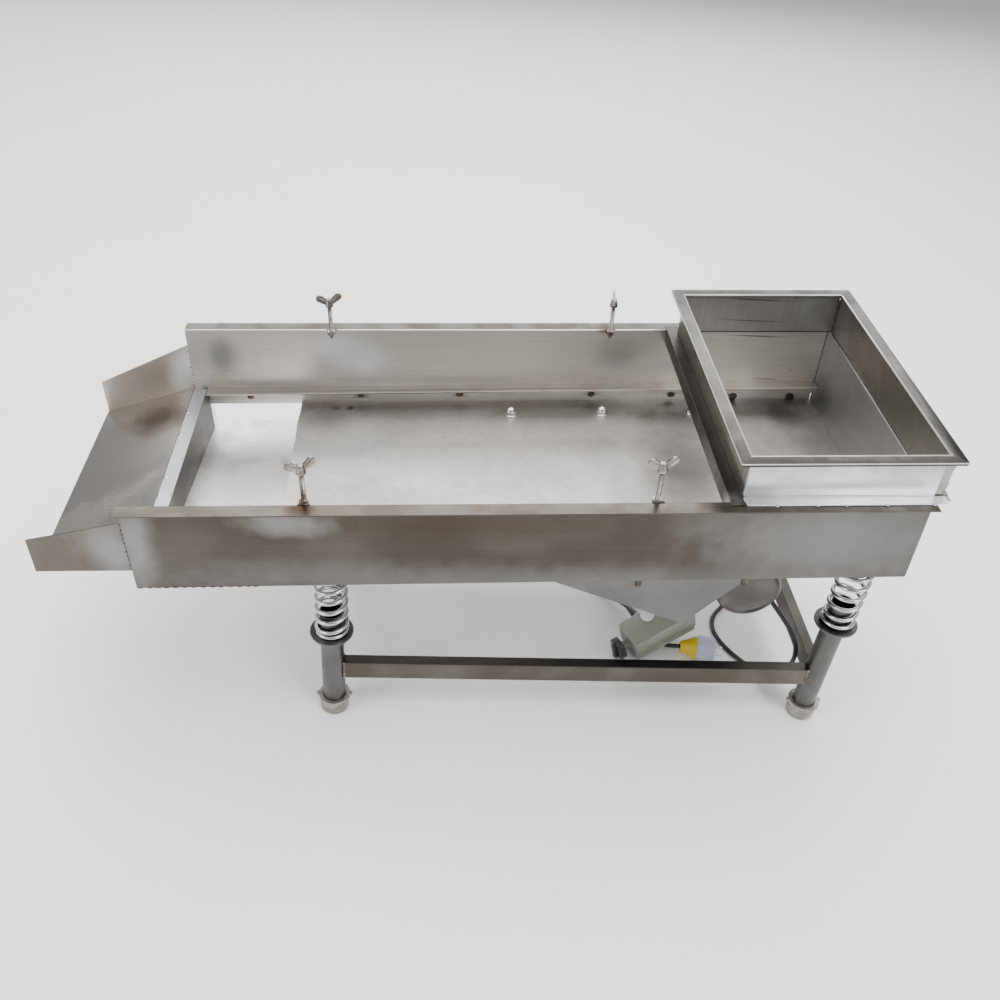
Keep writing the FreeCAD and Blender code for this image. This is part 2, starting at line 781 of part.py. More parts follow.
def supply_cord():
    """The supply cord's two uncoiled stretches, ending at the coil, the switch box and the plug's collar."""
    stretches = []
    for name, route in (("supply_in", supply_route_in), ("supply_out", supply_route_out)):
        stretches.append(cord_tube(name, route).cut(supply_coil()).cut(switch_box()).cut(plug_collar()))
    return Part.makeCompound(stretches)


nodes = {
    "front_wall": placed(wall(), trough_frame),
    "back_wall": placed(mirror_y(wall()), trough_frame),
    "right_end_wall": placed(right_end_wall(), trough_frame),
    "left_end_wall": placed(left_end_wall(), pan_frame),
    "bottom_pan": placed(bottom_pan(), pan_frame),
    "undersize_chute": placed(undersize_chute(), pan_frame),
    "front_ledge": placed(ledge(), ledge_frame),
    "back_ledge": placed(mirror_y(ledge()), ledge_frame),
    "oversize_plate": placed(oversize_plate(), trough_frame),
    "front_chute_wing": placed(chute_wing(), trough_frame),
    "back_chute_wing": placed(mirror_y(chute_wing()), trough_frame),
    "hopper_front": placed(hopper_front(), trough_frame),
    "hopper_back": placed(mirror_y(hopper_front()), trough_frame),
    "hopper_left": placed(hopper_left(), trough_frame),
    "hopper_right": placed(hopper_right(), trough_frame),
    "hopper_cross_angle": placed(cross_angle(), trough_frame),
    "clamp_nuts": placed(clamp_nuts(), trough_frame),
    "pan_bolts": placed(pan_bolts(), pan_frame),
    "bracket_front": placed(bracket_side(), pan_frame),
    "bracket_back": placed(mirror_y(bracket_side()), pan_frame),
    "motor_mount_plate": placed(motor_mount(), pan_frame),
    "motor_body": placed(motor_body(), pan_frame),
    "motor_covers": placed(motor_covers(), pan_frame),
    "terminal_box": placed(terminal_box(), pan_frame),
    "motor_gland": placed(motor_gland(), pan_frame),
    "spring_caps": spring_caps(),
    "feet": feet(),
    "switch_box": switch_box(),
    "switch_knob": switch_knob(),
    "plug_body": plug_body(),
    "plug_collar": plug_collar(),
    "plug_pins": plug_pins(),
    "motor_cord": motor_cord(),
    "supply_cord": supply_cord(),
    "supply_coil": supply_coil(),
}

for side, side_name in ((-1, "front"), (1, "back")):
    for x, end_name in zip(screw_places, ("left", "right")):
        corner_name = f"{side_name}_{end_name}"
        screw = clamp_screw(x, side, screw_turns[corner_name])
        nodes[f"clamp_screw_{corner_name}"] = placed(screw, trough_frame)
    for x, end_name in ((left_leg_x, "left"), (right_leg_x, "right")):
        nodes[f"leg_{side_name}_{end_name}"] = leg(x, side)
        nodes[f"spring_{side_name}_{end_name}"] = spring(x, side)
    nodes[f"rail_{side_name}"] = tube_rail(V(left_leg_x, side * leg_y, 0), V(right_leg_x, side * leg_y, 0))
for x, end_name in ((left_leg_x, "left"), (right_leg_x, "right")):
    nodes[f"rail_{end_name}"] = tube_rail(V(x, -leg_y, 0), V(x, leg_y, 0))

os.makedirs("parts", exist_ok=True)
for name, shape in nodes.items():
    print(name, shape.ShapeType, len(shape.Solids), shape.isValid(), round(shape.Volume))
    shape.exportStep(f"parts/{name}.step")
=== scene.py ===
import json
import math
import random
import bpy
import bmesh
from mathutils import Matrix, Vector

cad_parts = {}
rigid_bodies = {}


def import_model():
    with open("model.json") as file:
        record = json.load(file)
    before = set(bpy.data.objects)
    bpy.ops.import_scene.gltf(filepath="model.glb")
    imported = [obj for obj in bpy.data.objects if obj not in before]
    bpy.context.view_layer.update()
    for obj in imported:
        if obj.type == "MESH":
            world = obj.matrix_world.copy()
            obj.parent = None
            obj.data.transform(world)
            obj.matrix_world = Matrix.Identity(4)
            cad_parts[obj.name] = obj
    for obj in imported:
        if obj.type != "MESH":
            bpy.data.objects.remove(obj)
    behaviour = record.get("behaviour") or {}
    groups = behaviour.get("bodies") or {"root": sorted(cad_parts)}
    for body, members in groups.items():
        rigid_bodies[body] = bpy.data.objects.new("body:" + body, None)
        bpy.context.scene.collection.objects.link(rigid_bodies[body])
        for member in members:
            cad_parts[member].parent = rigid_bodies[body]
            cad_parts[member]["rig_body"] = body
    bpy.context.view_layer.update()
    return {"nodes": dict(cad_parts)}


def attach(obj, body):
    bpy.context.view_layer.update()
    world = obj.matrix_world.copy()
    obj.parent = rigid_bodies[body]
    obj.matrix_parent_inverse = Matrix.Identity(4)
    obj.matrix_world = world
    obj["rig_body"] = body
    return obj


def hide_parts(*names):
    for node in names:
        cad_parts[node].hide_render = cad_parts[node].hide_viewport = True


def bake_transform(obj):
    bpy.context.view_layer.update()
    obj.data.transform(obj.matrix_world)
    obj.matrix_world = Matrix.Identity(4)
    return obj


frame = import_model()

# Linear vibrating screen: looks, in metres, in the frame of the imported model.

scene = bpy.context.scene
cad_nodes = frame["nodes"]
random.seed(7)


def move(x, y, z):
    return Matrix.Translation((x, y, z))


def turn(degrees, axis):
    return Matrix.Rotation(math.radians(degrees), 4, axis)


# ---------------------------------------------------------------- camera

camera_data = bpy.data.cameras.new("camera")
camera = bpy.data.objects.new("camera", camera_data)
scene.collection.objects.link(camera)
camera_data.sensor_width = 36.0
camera_data.lens = 35.417
camera_data.shift_x = 0.02319
camera_data.shift_y = -0.0079
camera.location = (-0.10924, -1.35715, 1.43251)
camera.rotation_euler = [math.radians(a) for a in (51.2321, -3.6097, -1.9722)]
scene.camera = camera

# ---------------------------------------------------------------- sizes shared with the part

trough_x = -0.53298
trough_length = 1.2
half_width = 0.253
wall_height = 0.163
ledge_depth = 0.1244
hopper_start = 0.914
hopper_end = 1.202
hopper_height = 0.0768
hopper_inset = 0.0097
hopper_flange = 0.0214
left_leg_x = -0.23658
right_leg_x = 0.62642
leg_y = 0.2
ring_tops = {"left": 0.197, "right": 0.24027}
rail_top = 0.123
screw_places = {"left": 0.269, "right": 0.786}
screw_axis_y = 0.2465
bolt_places = (0.604, 0.7795, 0.955)
bolt_axis_y = 0.207
cord_radius = 0.00425
motor_cover_radius = 0.0565
cover_start = 0.0693
cover_end = 0.151

trough = move(trough_x, 0, 0.502) @ turn(-2.5, "Y")
pan = trough @ move(0, 0, -wall_height) @ turn(-0.37, "Y")
ledge = trough @ move(0, 0, -ledge_depth) @ turn(-0.64, "Y")
oversize = trough @ move(0, 0, -ledge_depth) @ turn(-10.8, "Y")
face_rise = math.degrees(math.atan2(0.167, 0.151))
motor = pan @ move(0.882, 0, -0.167) @ turn(180 - face_rise, "Y") @ move(-0.106, 0, 0.066)
switch = move(0.33962, -0.0879, 0.0053) @ turn(24, "Z") @ turn(-16, "Y")
plug = move(0.48382, -0.0777, 0.026) @ turn(-9, "Z")

# ---------------------------------------------------------------- material tools


def put(tree, kind, inputs=None, **settings):
    """Adds a node; an input is given by name or place, as a value or as the socket that feeds it."""
    made = tree.nodes.new(kind)
    for key, value in settings.items():
        setattr(made, key, value)
    for key, value in (inputs or {}).items():
        if isinstance(value, bpy.types.NodeSocket):
            tree.links.new(value, made.inputs[key])
        else:
            made.inputs[key].default_value = value
    return made


def effect(name, inputs, outputs):
    """Starts a shared effect with named inputs and outputs."""
    tree = bpy.data.node_groups.new(name, "ShaderNodeTree")
    for label, kind, value in inputs:
        tree.interface.new_socket(name=label, in_out="INPUT", socket_type=kind).default_value = value
    for label, kind in outputs:
        tree.interface.new_socket(name=label, in_out="OUTPUT", socket_type=kind)
    return tree, tree.nodes.new("NodeGroupInput").outputs, tree.nodes.new("NodeGroupOutput").inputs


def apply_effect(tree, group, **inputs):
    made = tree.nodes.new("ShaderNodeGroup")
    made.node_tree = group
    for key, value in inputs.items():
        if isinstance(value, bpy.types.NodeSocket):
            tree.links.new(value, made.inputs[key])
        else:
            made.inputs[key].default_value = value
    return made.outputs


def vector_math(tree, operation, *values):
    return put(tree, "ShaderNodeVectorMath", dict(enumerate(values)), operation=operation).outputs


def remap(tree, value, low, high, new_low, new_high):
    places = {0: value, 1: low, 2: high, 3: new_low, 4: new_high}
    return put(tree, "ShaderNodeMapRange", places, interpolation_type="SMOOTHSTEP").outputs[0]


def mixed(tree, amount, first, second, blend="MIX"):
    made = put(tree, "ShaderNodeMix", {0: amount, 6: first, 7: second}, data_type="RGBA", blend_type=blend)
    return made.outputs[2]


def make_patch():
    """A soft round or long patch at a place, with an uneven edge."""
    tree, given, out = effect(
        "patch",
        [("Position", "NodeSocketVector", (0, 0, 0)), ("Centre", "NodeSocketVector", (0, 0, 0)),
         ("Size", "NodeSocketVector", (1, 1, 1)), ("Uneven", "NodeSocketFloat", 0.2)],
        [("Mask", "NodeSocketFloat")])
    offset = vector_math(tree, "SUBTRACT", given["Position"], given["Centre"])[0]
    scaled = vector_math(tree, "DIVIDE", offset, given["Size"])[0]
    stir = put(tree, "ShaderNodeTexNoise", {"Vector": given["Position"], "Scale": 34.0, "Detail": 4.0}).outputs[1]
    centred = vector_math(tree, "SUBTRACT", stir, (0.5, 0.5, 0.5))[0]
    wide = put(tree, "ShaderNodeMath", {0: given["Uneven"], 1: 3.0}, operation="MULTIPLY").outputs[0]
    shaken = vector_math(tree, "SCALE", centred)
    tree.links.new(wide, shaken[0].node.inputs["Scale"])
    place = vector_math(tree, "ADD", scaled, shaken[0])[0]
    far = vector_math(tree, "LENGTH", place)[1]
    tree.links.new(remap(tree, far, 0.12, 1.15, 1.0, 0.0), out["Mask"])
    return tree


def make_cloud():
    """Large soft blotches, as rolled sheet shows after handling."""
    tree, given, out = effect(
        "cloud",
        [("Position", "NodeSocketVector", (0, 0, 0)), ("Scale", "NodeSocketFloat", 6.0),
         ("Low", "NodeSocketFloat", 0.35), ("High", "NodeSocketFloat", 0.65)],
        [("Mask", "NodeSocketFloat")])
    noise = put(tree, "ShaderNodeTexNoise",
                {"Vector": given["Position"], "Scale": given["Scale"], "Detail": 5.0, "Roughness": 0.55,
                 "Distortion": 0.5}).outputs[0]
    tree.links.new(remap(tree, noise, given["Low"], given["High"], 0.0, 1.0), out["Mask"])
    return tree


def make_grain():
    """Rolling or brushing lines along the axis with the small stretch number."""
    tree, given, out = effect(
        "grain",
        [("Position", "NodeSocketVector", (0, 0, 0)), ("Stretch", "NodeSocketVector", (4, 600, 600)),
         ("Depth", "NodeSocketFloat", 0.1)],
        [("Value", "NodeSocketFloat"), ("Normal", "NodeSocketVector")])
    place = vector_math(tree, "MULTIPLY", given["Position"], given["Stretch"])[0]
    lines = put(tree, "ShaderNodeTexNoise", {"Vector": place, "Scale": 1.0, "Detail": 4.0, "Roughness": 0.65})
    fine = put(tree, "ShaderNodeTexNoise", {"Vector": given["Position"], "Scale": 900.0, "Detail": 2.0})
    both = put(tree, "ShaderNodeMath", {0: fine.outputs[0], 1: 0.35, 2: lines.outputs[0]}, operation="MULTIPLY_ADD")
    bump = put(tree, "ShaderNodeBump",
               {"Strength": given["Depth"], "Distance": 0.0004, "Height": both.outputs[0]})
    tree.links.new(lines.outputs[0], out["Value"])
    tree.links.new(bump.outputs[0], out["Normal"])
    return tree


def make_specks():
    """Scattered small marks: scratches, drips and dust."""
    tree, given, out = effect(
        "specks",
        [("Position", "NodeSocketVector", (0, 0, 0)), ("Scale", "NodeSocketFloat", 160.0),
         ("Cover", "NodeSocketFloat", 0.3)],
        [("Mask", "NodeSocketFloat")])
    fine = put(tree, "ShaderNodeTexNoise", {"Vector": given["Position"], "Scale": given["Scale"], "Detail": 3.0})
    wide = put(tree, "ShaderNodeTexNoise", {"Vector": given["Position"], "Scale": 9.0, "Detail": 2.0})
    joined = put(tree, "ShaderNodeMath", {0: fine.outputs[0], 1: wide.outputs[0]}, operation="MULTIPLY").outputs[0]
    part = put(tree, "ShaderNodeMath", {0: given["Cover"], 1: 0.2}, operation="MULTIPLY").outputs[0]
    edge = put(tree, "ShaderNodeMath", {0: 0.46, 1: part}, operation="SUBTRACT").outputs[0]
    high = put(tree, "ShaderNodeMath", {0: edge, 1: 0.06}, operation="ADD").outputs[0]
    tree.links.new(remap(tree, joined, edge, high, 0.0, 1.0), out["Mask"])
    return tree


patch = make_patch()
cloud = make_cloud()
grain = make_grain()
specks = make_specks()


def new_material(name):
    material = bpy.data.materials.new(name)
    material.use_nodes = True
    tree = material.node_tree
    shader = tree.nodes["Principled BSDF"]
    position = put(tree, "ShaderNodeTexCoord").outputs["Object"]
    return material, tree, shader, position


def grey(value, warm=0.0):
    """Linear grey, turned a little to brown for warm above nought and to blue below it."""
    return (value * (1 + warm), value, value * (1 - warm), 1.0)


def trough_place(tree, position):
    """Position in the trough's own frame, so that a seam can follow its slope."""
    axes = trough.to_3x3()
    offset = vector_math(tree, "SUBTRACT", position, trough.translation)[0]
    along = vector_math(tree, "DOT_PRODUCT", offset, axes @ Vector((1, 0, 0)))[1]
    up = vector_math(tree, "DOT_PRODUCT", offset, axes @ Vector((0, 0, 1)))[1]
    across = put(tree, "ShaderNodeSeparateXYZ", {0: position}).outputs[1]
    return put(tree, "ShaderNodeCombineXYZ", {0: along, 1: across, 2: up}).outputs[0]


def stainless(name, light, dark, rough=(0.32, 0.46), stretch=(4, 600, 600), depth=0.12, blotch=7.0,
              marks=(), dirt=0.05, dirt_tone=None, seams=()):
    """Stainless steel with blotches, grain, dirt, marks at given places and seams placed in the trough's frame; the
    copies' base tones and many marks are painted light and shade.
    """
    material, tree, shader, position = new_material(name)
    blotches = apply_effect(tree, cloud, Position=position, Scale=blotch)["Mask"]
    lines = apply_effect(tree, grain, Position=position, Stretch=stretch, Depth=depth)
    colour = mixed(tree, blotches, light, dark)
    line_tone = remap(tree, lines["Value"], 0.3, 0.7, 0.93, 1.06)
    toned = vector_math(tree, "SCALE", colour)
    tree.links.new(line_tone, toned[0].node.inputs["Scale"])
    colour = toned[0]
    shine = remap(tree, blotches, 0.0, 1.0, rough[0], rough[1])
    placed = [(position, *mark) for mark in marks]
    if seams:
        own_place = trough_place(tree, position)
        placed += [(own_place, *seam) for seam in seams]
    for place, centre, size, tone, amount in placed:
        mask = apply_effect(tree, patch, Position=place, Centre=centre, Size=size)["Mask"]
        part = put(tree, "ShaderNodeMath", {0: mask, 1: amount}, operation="MULTIPLY").outputs[0]
        colour = mixed(tree, part, colour, tone)
    dirty = apply_effect(tree, specks, Position=position, Cover=dirt)["Mask"]
    colour = mixed(tree, dirty, colour, dirt_tone or grey(light[1] * 0.6, 0.08))
    tree.links.new(colour, shader.inputs["Base Color"])
    tree.links.new(shine, shader.inputs["Roughness"])
    tree.links.new(lines["Normal"], shader.inputs["Normal"])
    shader.inputs["Metallic"].default_value = 1.0
    return material


def coated(name, light, dark, rough=(0.4, 0.55), blotch=30.0, bump_scale=700.0, depth=0.1, dust=None):
    """Paint, moulded plastic, rubber or a casting: two close tones, fine texture and a little dust."""
    material, tree, shader, position = new_material(name)
    blotches = apply_effect(tree, cloud, Position=position, Scale=blotch)["Mask"]
    colour = mixed(tree, blotches, light, dark)
    dirty = apply_effect(tree, specks, Position=position, Scale=220.0, Cover=0.2)["Mask"]
    colour = mixed(tree, dirty, colour, dust or (0.3, 0.28, 0.25, 1))
    texture = put(tree, "ShaderNodeTexNoise", {"Vector": position, "Scale": bump_scale, "Detail": 3.0})
    bump = put(tree, "ShaderNodeBump", {"Strength": depth, "Distance": 0.0006, "Height": texture.outputs[0]})
    tree.links.new(colour, shader.inputs["Base Color"])
    tree.links.new(remap(tree, blotches, 0.0, 1.0, rough[0], rough[1]), shader.inputs["Roughness"])
    tree.links.new(bump.outputs[0], shader.inputs["Normal"])
    return material


# ---------------------------------------------------------------- modelling tools


def finish_piece(name, bm, body, material, stands_for=(), edge=0.0, steps=2, sharp=35.0):
    """Makes the bmesh a piece that rides on a body, with its sharp edges broken."""
    mesh = bpy.data.meshes.new(name)
    bm.to_mesh(mesh)
    bm.free()
    mesh.shade_smooth()
    mesh.set_sharp_from_angle(angle=math.radians(sharp))
    piece = bpy.data.objects.new(name, mesh)
    scene.collection.objects.link(piece)
    mesh.materials.append(material)
    if edge:
        broken = piece.modifiers.new("broken_edges", "BEVEL")
        broken.width = edge
        broken.segments = steps
        broken.limit_method = "ANGLE"
        broken.angle_limit = math.radians(32)
        broken.harden_normals = True
        broken.use_clamp_overlap = True
    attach(piece, body)
    if stands_for:
        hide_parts(*stands_for)
    return piece


def merged_copy(node):
    """Bmesh of a CAD node with its corners merged and its flat faces whole."""
    bm = bmesh.new()
    bm.from_mesh(cad_nodes[node].data)
    bmesh.ops.remove_doubles(bm, verts=bm.verts[:], dist=1e-5)
    bmesh.ops.dissolve_limit(bm, angle_limit=math.radians(0.4), verts=bm.verts[:], edges=bm.edges[:])
    return bm


def finished(node, material, edge=0.0005, steps=2, name=None):
    """A CAD node's own shape with its edges broken."""
    bm = merged_copy(node)
    body = cad_nodes[node]["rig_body"]
    return finish_piece(name or node + "_finished", bm, body, material, (node,), edge, steps)


def lathe(bm, profile, place, steps=48):
    """Turned shape from (radius, height) points about the local Z of a place."""
    verts = [bm.verts.new(place @ Vector((r, 0, z))) for r, z in profile]
    edges = [bm.edges.new(pair) for pair in zip(verts, verts[1:])]
    axis = place.to_3x3() @ Vector((0, 0, 1))
    swept = bmesh.ops.spin(bm, geom=verts + edges, cent=place.translation, axis=axis, angle=2 * math.pi,
                           steps=steps, use_merge=True)
    return swept


def tidy_shell(bm, distance=1e-5):
    bmesh.ops.remove_doubles(bm, verts=bm.verts[:], dist=distance)
    bmesh.ops.recalc_face_normals(bm, faces=bm.faces[:])


def block(bm, size, place):
    """Box of a size with its middle at a place; returns its vertices."""
    scale = Matrix.Diagonal((*size, 1))
    return bmesh.ops.create_cube(bm, size=1.0, matrix=place @ scale)["verts"]


def bead(bm, place, size, steps=2):
    """One small lump of weld metal, flattened onto its surface."""
    wobble = [1 + random.uniform(-0.15, 0.15) for _ in range(3)]
    scale = Matrix.Diagonal((size[0] * wobble[0], size[1] * wobble[1], size[2] * wobble[2], 1))
    bmesh.ops.create_icosphere(bm, subdivisions=steps, radius=1.0, matrix=place @ scale)


def hex_solid(bm, flats, height, place, chamfer=0.0006):
    """Hexagon nut or head standing on a place, its corners chamfered."""
    made = bmesh.ops.create_cone(bm, cap_ends=True, segments=6, radius1=flats / math.sqrt(3),
                                 radius2=flats / math.sqrt(3), depth=height,
                                 matrix=place @ move(0, 0, height / 2))
    faces = {f for v in made["verts"] for f in v.link_faces}
    edges = {e for f in faces for e in f.edges if len(f.verts) == 6}
    bmesh.ops.bevel(bm, geom=list(edges), offset=chamfer, offset_type="OFFSET", segments=2, profile=0.5,
                    affect="EDGES", material=-1, clamp_overlap=True)


def add_part(bm, part):
    """Adds a separately made part to a piece."""
    mesh = bpy.data.meshes.new("part")
    part.to_mesh(mesh)
    part.free()
    bm.from_mesh(mesh)
    bpy.data.meshes.remove(mesh)


def thread(bm, radius, pitch, length, place, steps=14):
    """Screw thread cut down a rod from its top at a place."""
    part = bmesh.new()
    low = radius - 0.61 * pitch
    turns = int(length / pitch) - 1
    verts = [part.verts.new((r, 0, z - length)) for r, z in ((low, 0), (radius, pitch * 0.5), (low, pitch))]
    edges = [part.edges.new(pair) for pair in zip(verts, verts[1:])]
    bmesh.ops.spin(part, geom=verts + edges, cent=(0, 0, 0), axis=(0, 0, 1), dvec=(0, 0, pitch / steps),
                   angle=2 * math.pi * turns, steps=steps * turns, use_merge=False)
    tidy_shell(part, 2e-6)
    bmesh.ops.create_cone(part, cap_ends=True, segments=20, radius1=low * 1.02, radius2=low * 1.02,
                          depth=length, matrix=move(0, 0, -length / 2))
    bmesh.ops.transform(part, matrix=place, verts=part.verts[:])
    add_part(bm, part)


# ---------------------------------------------------------------- cords, first

rubber = coated("cord_rubber", (0.018, 0.018, 0.019, 1), (0.03, 0.03, 0.031, 1), (0.42, 0.6), 60, 900, 0.12)

motor_route = [
    (0.5336, -0.055, 0.2138), (0.5336, -0.085, 0.2138), (0.544, -0.115, 0.202), (0.568, -0.135, 0.177),
    (0.594, -0.151, 0.145), (0.603, -0.161, 0.106), (0.598, -0.159, 0.070), (0.582, -0.142, 0.037),
    (0.562, -0.116, 0.012), (0.541, -0.082, 0.0046), (0.517, -0.046, 0.0043), (0.503, -0.004, 0.0045),
    (0.512, 0.036, 0.0043), (0.541, 0.066, 0.0045), (0.569, 0.095, 0.0043), (0.581, 0.130, 0.0045),
    (0.566, 0.163, 0.0043), (0.531, 0.180, 0.0045), (0.490, 0.181, 0.0043), (0.449, 0.168, 0.005),
    (0.415, 0.145, 0.011), (0.390, 0.112, 0.026), (0.376, 0.077, 0.043), (0.375, 0.044, 0.054),
    (0.3859, 0.0159, 0.0555),
]
supply_route_in = [
    (0.342, -0.0037, 0.0417), (0.3307, 0.0216, 0.040), (0.3175, 0.0525, 0.027), (0.3007, 0.083, 0.011),
    (0.2787, 0.1145, 0.0045), (0.2626, 0.151, 0.0043),
]
supply_route_out = [
    (0.3645, 0.1526, 0.009), (0.3734, 0.117, 0.0046), (0.3773, 0.080, 0.0043), (0.3712, 0.0415, 0.0045),
    (0.366, 0.003, 0.0043), (0.373, -0.0315, 0.0055), (0.3928, -0.0556, 0.013), (0.4207, -0.0677, 0.026),
]


def coil_points(turns=4.5, around=16):
    """Turns of the stored cord: inwards on the floor, then a step up and outwards on top."""
    points = []
    for i in range(int(turns * around) + 1):
        t = i / around
        rise = min(max((t - 2.0) / 0.35, 0.0), 1.0)
        radius = 0.05125 - 0.0088 * min(t, 2.0) - 0.00105 * rise + 0.0088 * max(t - 2.35, 0.0)
        angle = math.pi - 2 * math.pi * t
        points.append((0.310 + radius * math.cos(angle), 0.190 + radius * math.sin(angle),
                       0.0044 + 0.0087 * rise))
    return points


def cord_curve(name, points, nodes):
    """A cord on a smooth line through the loose route."""
    data = bpy.data.curves.new(name, "CURVE")
    data.dimensions = "3D"
    spline = data.splines.new("NURBS")
    spline.points.add(len(points) - 1)
    for point, place in zip(spline.points, points):
        point.co = (*place, 1.0)
        point.radius = cord_radius
    spline.order_u = 3
    spline.use_endpoint_u = True
    spline.resolution_u = 8
    data.bevel_depth = 1.0
    data.bevel_resolution = 5
    data.use_fill_caps = True
    piece = bpy.data.objects.new(name, data)
    scene.collection.objects.link(piece)
    data.materials.append(rubber)
    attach(piece, "stand")
    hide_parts(*nodes)
    return piece


motor_lead = cord_curve("motor_lead", motor_route, ("motor_cord",))
supply_points = supply_route_in + coil_points() + supply_route_out
supply_lead = cord_curve("supply_lead", supply_points, ("supply_cord", "supply_coil"))


def centre_line(cord):
    """Points along a cord's own line."""
    depth = cord.data.bevel_depth
    cord.data.bevel_depth = 0.0
    bare = bpy.data.meshes.new_from_object(cord)
    cord.data.bevel_depth = depth
    points = [v.co.copy() for v in bare.vertices]
    bpy.data.meshes.remove(bare)
    return points


def strain_relief(name, cord, length, thick, body, material, backwards=False):
    """Tapered ribbed sleeve over one end of a cord."""
    points = centre_line(cord)
    if backwards:
        points.reverse()
    data = bpy.data.curves.new(name, "CURVE")
    data.dimensions = "3D"
    run = [0.0]
    for a, b in zip(points, points[1:]):
        run.append(run[-1] + (b - a).length)
    count = 25
    spline = data.splines.new("POLY")
    spline.points.add(count - 1)
    for i, point in enumerate(spline.points):
        along = length * i / (count - 1)
        k = max(j for j, s in enumerate(run) if s <= along)
        part = (along - run[k]) / (run[k + 1] - run[k])
        point.co = (*points[k].lerp(points[k + 1], part), 1.0)
        taper = 1 - i / (count - 1)
        ring = 0.0009 if i % 4 in (1, 2) and 2 < i < count - 2 else 0.0
        point.radius = cord_radius + 0.0005 + (thick - cord_radius) * taper + ring * taper
    data.bevel_depth = 1.0
    data.bevel_resolution = 6
    data.use_fill_caps = True
    piece = bpy.data.objects.new(name, data)
    scene.collection.objects.link(piece)
    data.materials.append(material)
    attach(piece, body)
    return piece


black_plastic = coated("black_plastic", (0.016, 0.016, 0.017, 1), (0.028, 0.027, 0.027, 1), (0.32, 0.5), 40, 800, 0.1)
motor_relief = strain_relief("motor_relief", motor_lead, 0.032, 0.0058, "stand", black_plastic)
motor_relief_low = strain_relief("motor_relief_low", motor_lead, 0.03, 0.0075, "stand", black_plastic,
                                 True)
supply_relief = strain_relief("supply_relief", supply_lead, 0.03, 0.0075, "stand", black_plastic)

# ---------------------------------------------------------------- finishes, with painted light and shade in the steel copies

brown = (0.085, 0.062, 0.045, 1)
rust = (0.05, 0.029, 0.018, 1)
# near-black for thin dark lines; at the chute joint, the hopper walls' lower edges and the strip's slits it is
# painted shadow in the gap
near_black = (0.03, 0.028, 0.026, 1)

# front wall: the dark base and its lighter and darker patches and bands are painted reflections and shade, not a
# different steel
front_wall_sheet = stainless(
    "front_wall_sheet", grey(0.075, 0.13), grey(0.056, 0.17), (0.36, 0.46), (5, 500, 500), 0.08, 5,
    [((-0.515, -0.255, 0.43), (0.035, 0.05, 0.11), grey(0.22, 0.02), 0.85),
     ((-0.29, -0.255, 0.478), (0.085, 0.05, 0.032), grey(0.24, 0.03), 0.85),
     ((-0.44, -0.255, 0.45), (0.07, 0.05, 0.045), grey(0.075, 0.12), 0.6),
     ((-0.05, -0.255, 0.49), (0.30, 0.02, 0.05), grey(0.042, 0.28), 0.7),
     ((0.10, -0.255, 0.365), (0.75, 0.05, 0.05), grey(0.15, 0.04), 0.7),
     ((0.56, -0.255, 0.47), (0.27, 0.05, 0.13), grey(0.165, 0.03), 0.85)])
# front flange tops: their own brighter copy is painted light by facing, on a brown tint; the brown and rust marks are
# real stains
front_flange_sheet = stainless(
    "front_flange_sheet", grey(0.115, 0.13), grey(0.08, 0.18), (0.3, 0.42), (5, 500, 500), 0.1, 14,
    [((-0.24, -0.27, 0.515), (0.055, 0.03, 0.02), brown, 0.6),
     ((-0.268, -0.262, 0.5134), (0.030, 0.02, 0.02), rust, 0.9)],
    seams=[((1.058, -0.2664, 0), (0.28, 0.0016, 0.01), near_black, 0.9)])
# back wall inside: the bright base, the near-white and grey patches and the light band low down are painted
# reflections, highlights and shade; rust and brown marks are real stains
back_wall_sheet = stainless(
    "back_wall_sheet", grey(0.72, 0.05), grey(0.62, 0.06), (0.34, 0.44), (5, 500, 500), 0.07, 5,
    [((-0.25, 0.253, 0.478), (0.06, 0.05, 0.045), grey(1.0, -0.05), 1.0),
     ((-0.21, 0.253, 0.455), (0.075, 0.05, 0.04), grey(1.0, -0.05), 1.0),
     ((-0.47, 0.253, 0.45), (0.04, 0.05, 0.045), grey(0.33, 0.0), 0.8),
     ((-0.51, 0.253, 0.46), (0.02, 0.05, 0.07), grey(0.7, -0.03), 0.5),
     ((0.27, 0.253, 0.48), (0.06, 0.05, 0.05), grey(0.36, 0.02), 0.7),
     ((0.05, 0.253, 0.40), (0.65, 0.05, 0.009), grey(0.85, -0.03), 0.6),
     ((0.50, 0.253, 0.40), (0.15, 0.05, 0.05), grey(0.5, 0.0), 0.5),
     ((0.245, 0.256, 0.537), (0.022, 0.02, 0.012), rust, 0.75),
     ((0.5289, 0.253, 0.535), (0.07, 0.02, 0.0016), near_black, 0.8),
     ((0.57, 0.253, 0.4414), (0.03, 0.02, 0.0016), brown, 0.7)])
# back flange tops: a much darker copy than the wall, painted shade against their reflection, on a brown tint; the
# rust mark is a real stain
back_flange_sheet = stainless(
    "back_flange_sheet", grey(0.095, 0.11), grey(0.065, 0.15), (0.3, 0.42), (5, 500, 500), 0.1, 14,
    [((0.245, 0.26, 0.537), (0.03, 0.02, 0.02), rust, 0.7)])
# faces of the long walls that look towards +y: their own copy with lighter and darker patches is painted light and
# shade by facing
plain_wall_sheet = stainless(
    "plain_wall_sheet", grey(0.32, 0.05), grey(0.25, 0.07), (0.34, 0.46), (5, 500, 500), 0.08, 5,
    [((-0.25, 0, 0.44), (0.25, 0.5, 0.06), grey(0.40, 0.02), 0.6),
     ((0.35, 0, 0.47), (0.20, 0.5, 0.07), grey(0.22, 0.06), 0.6)])
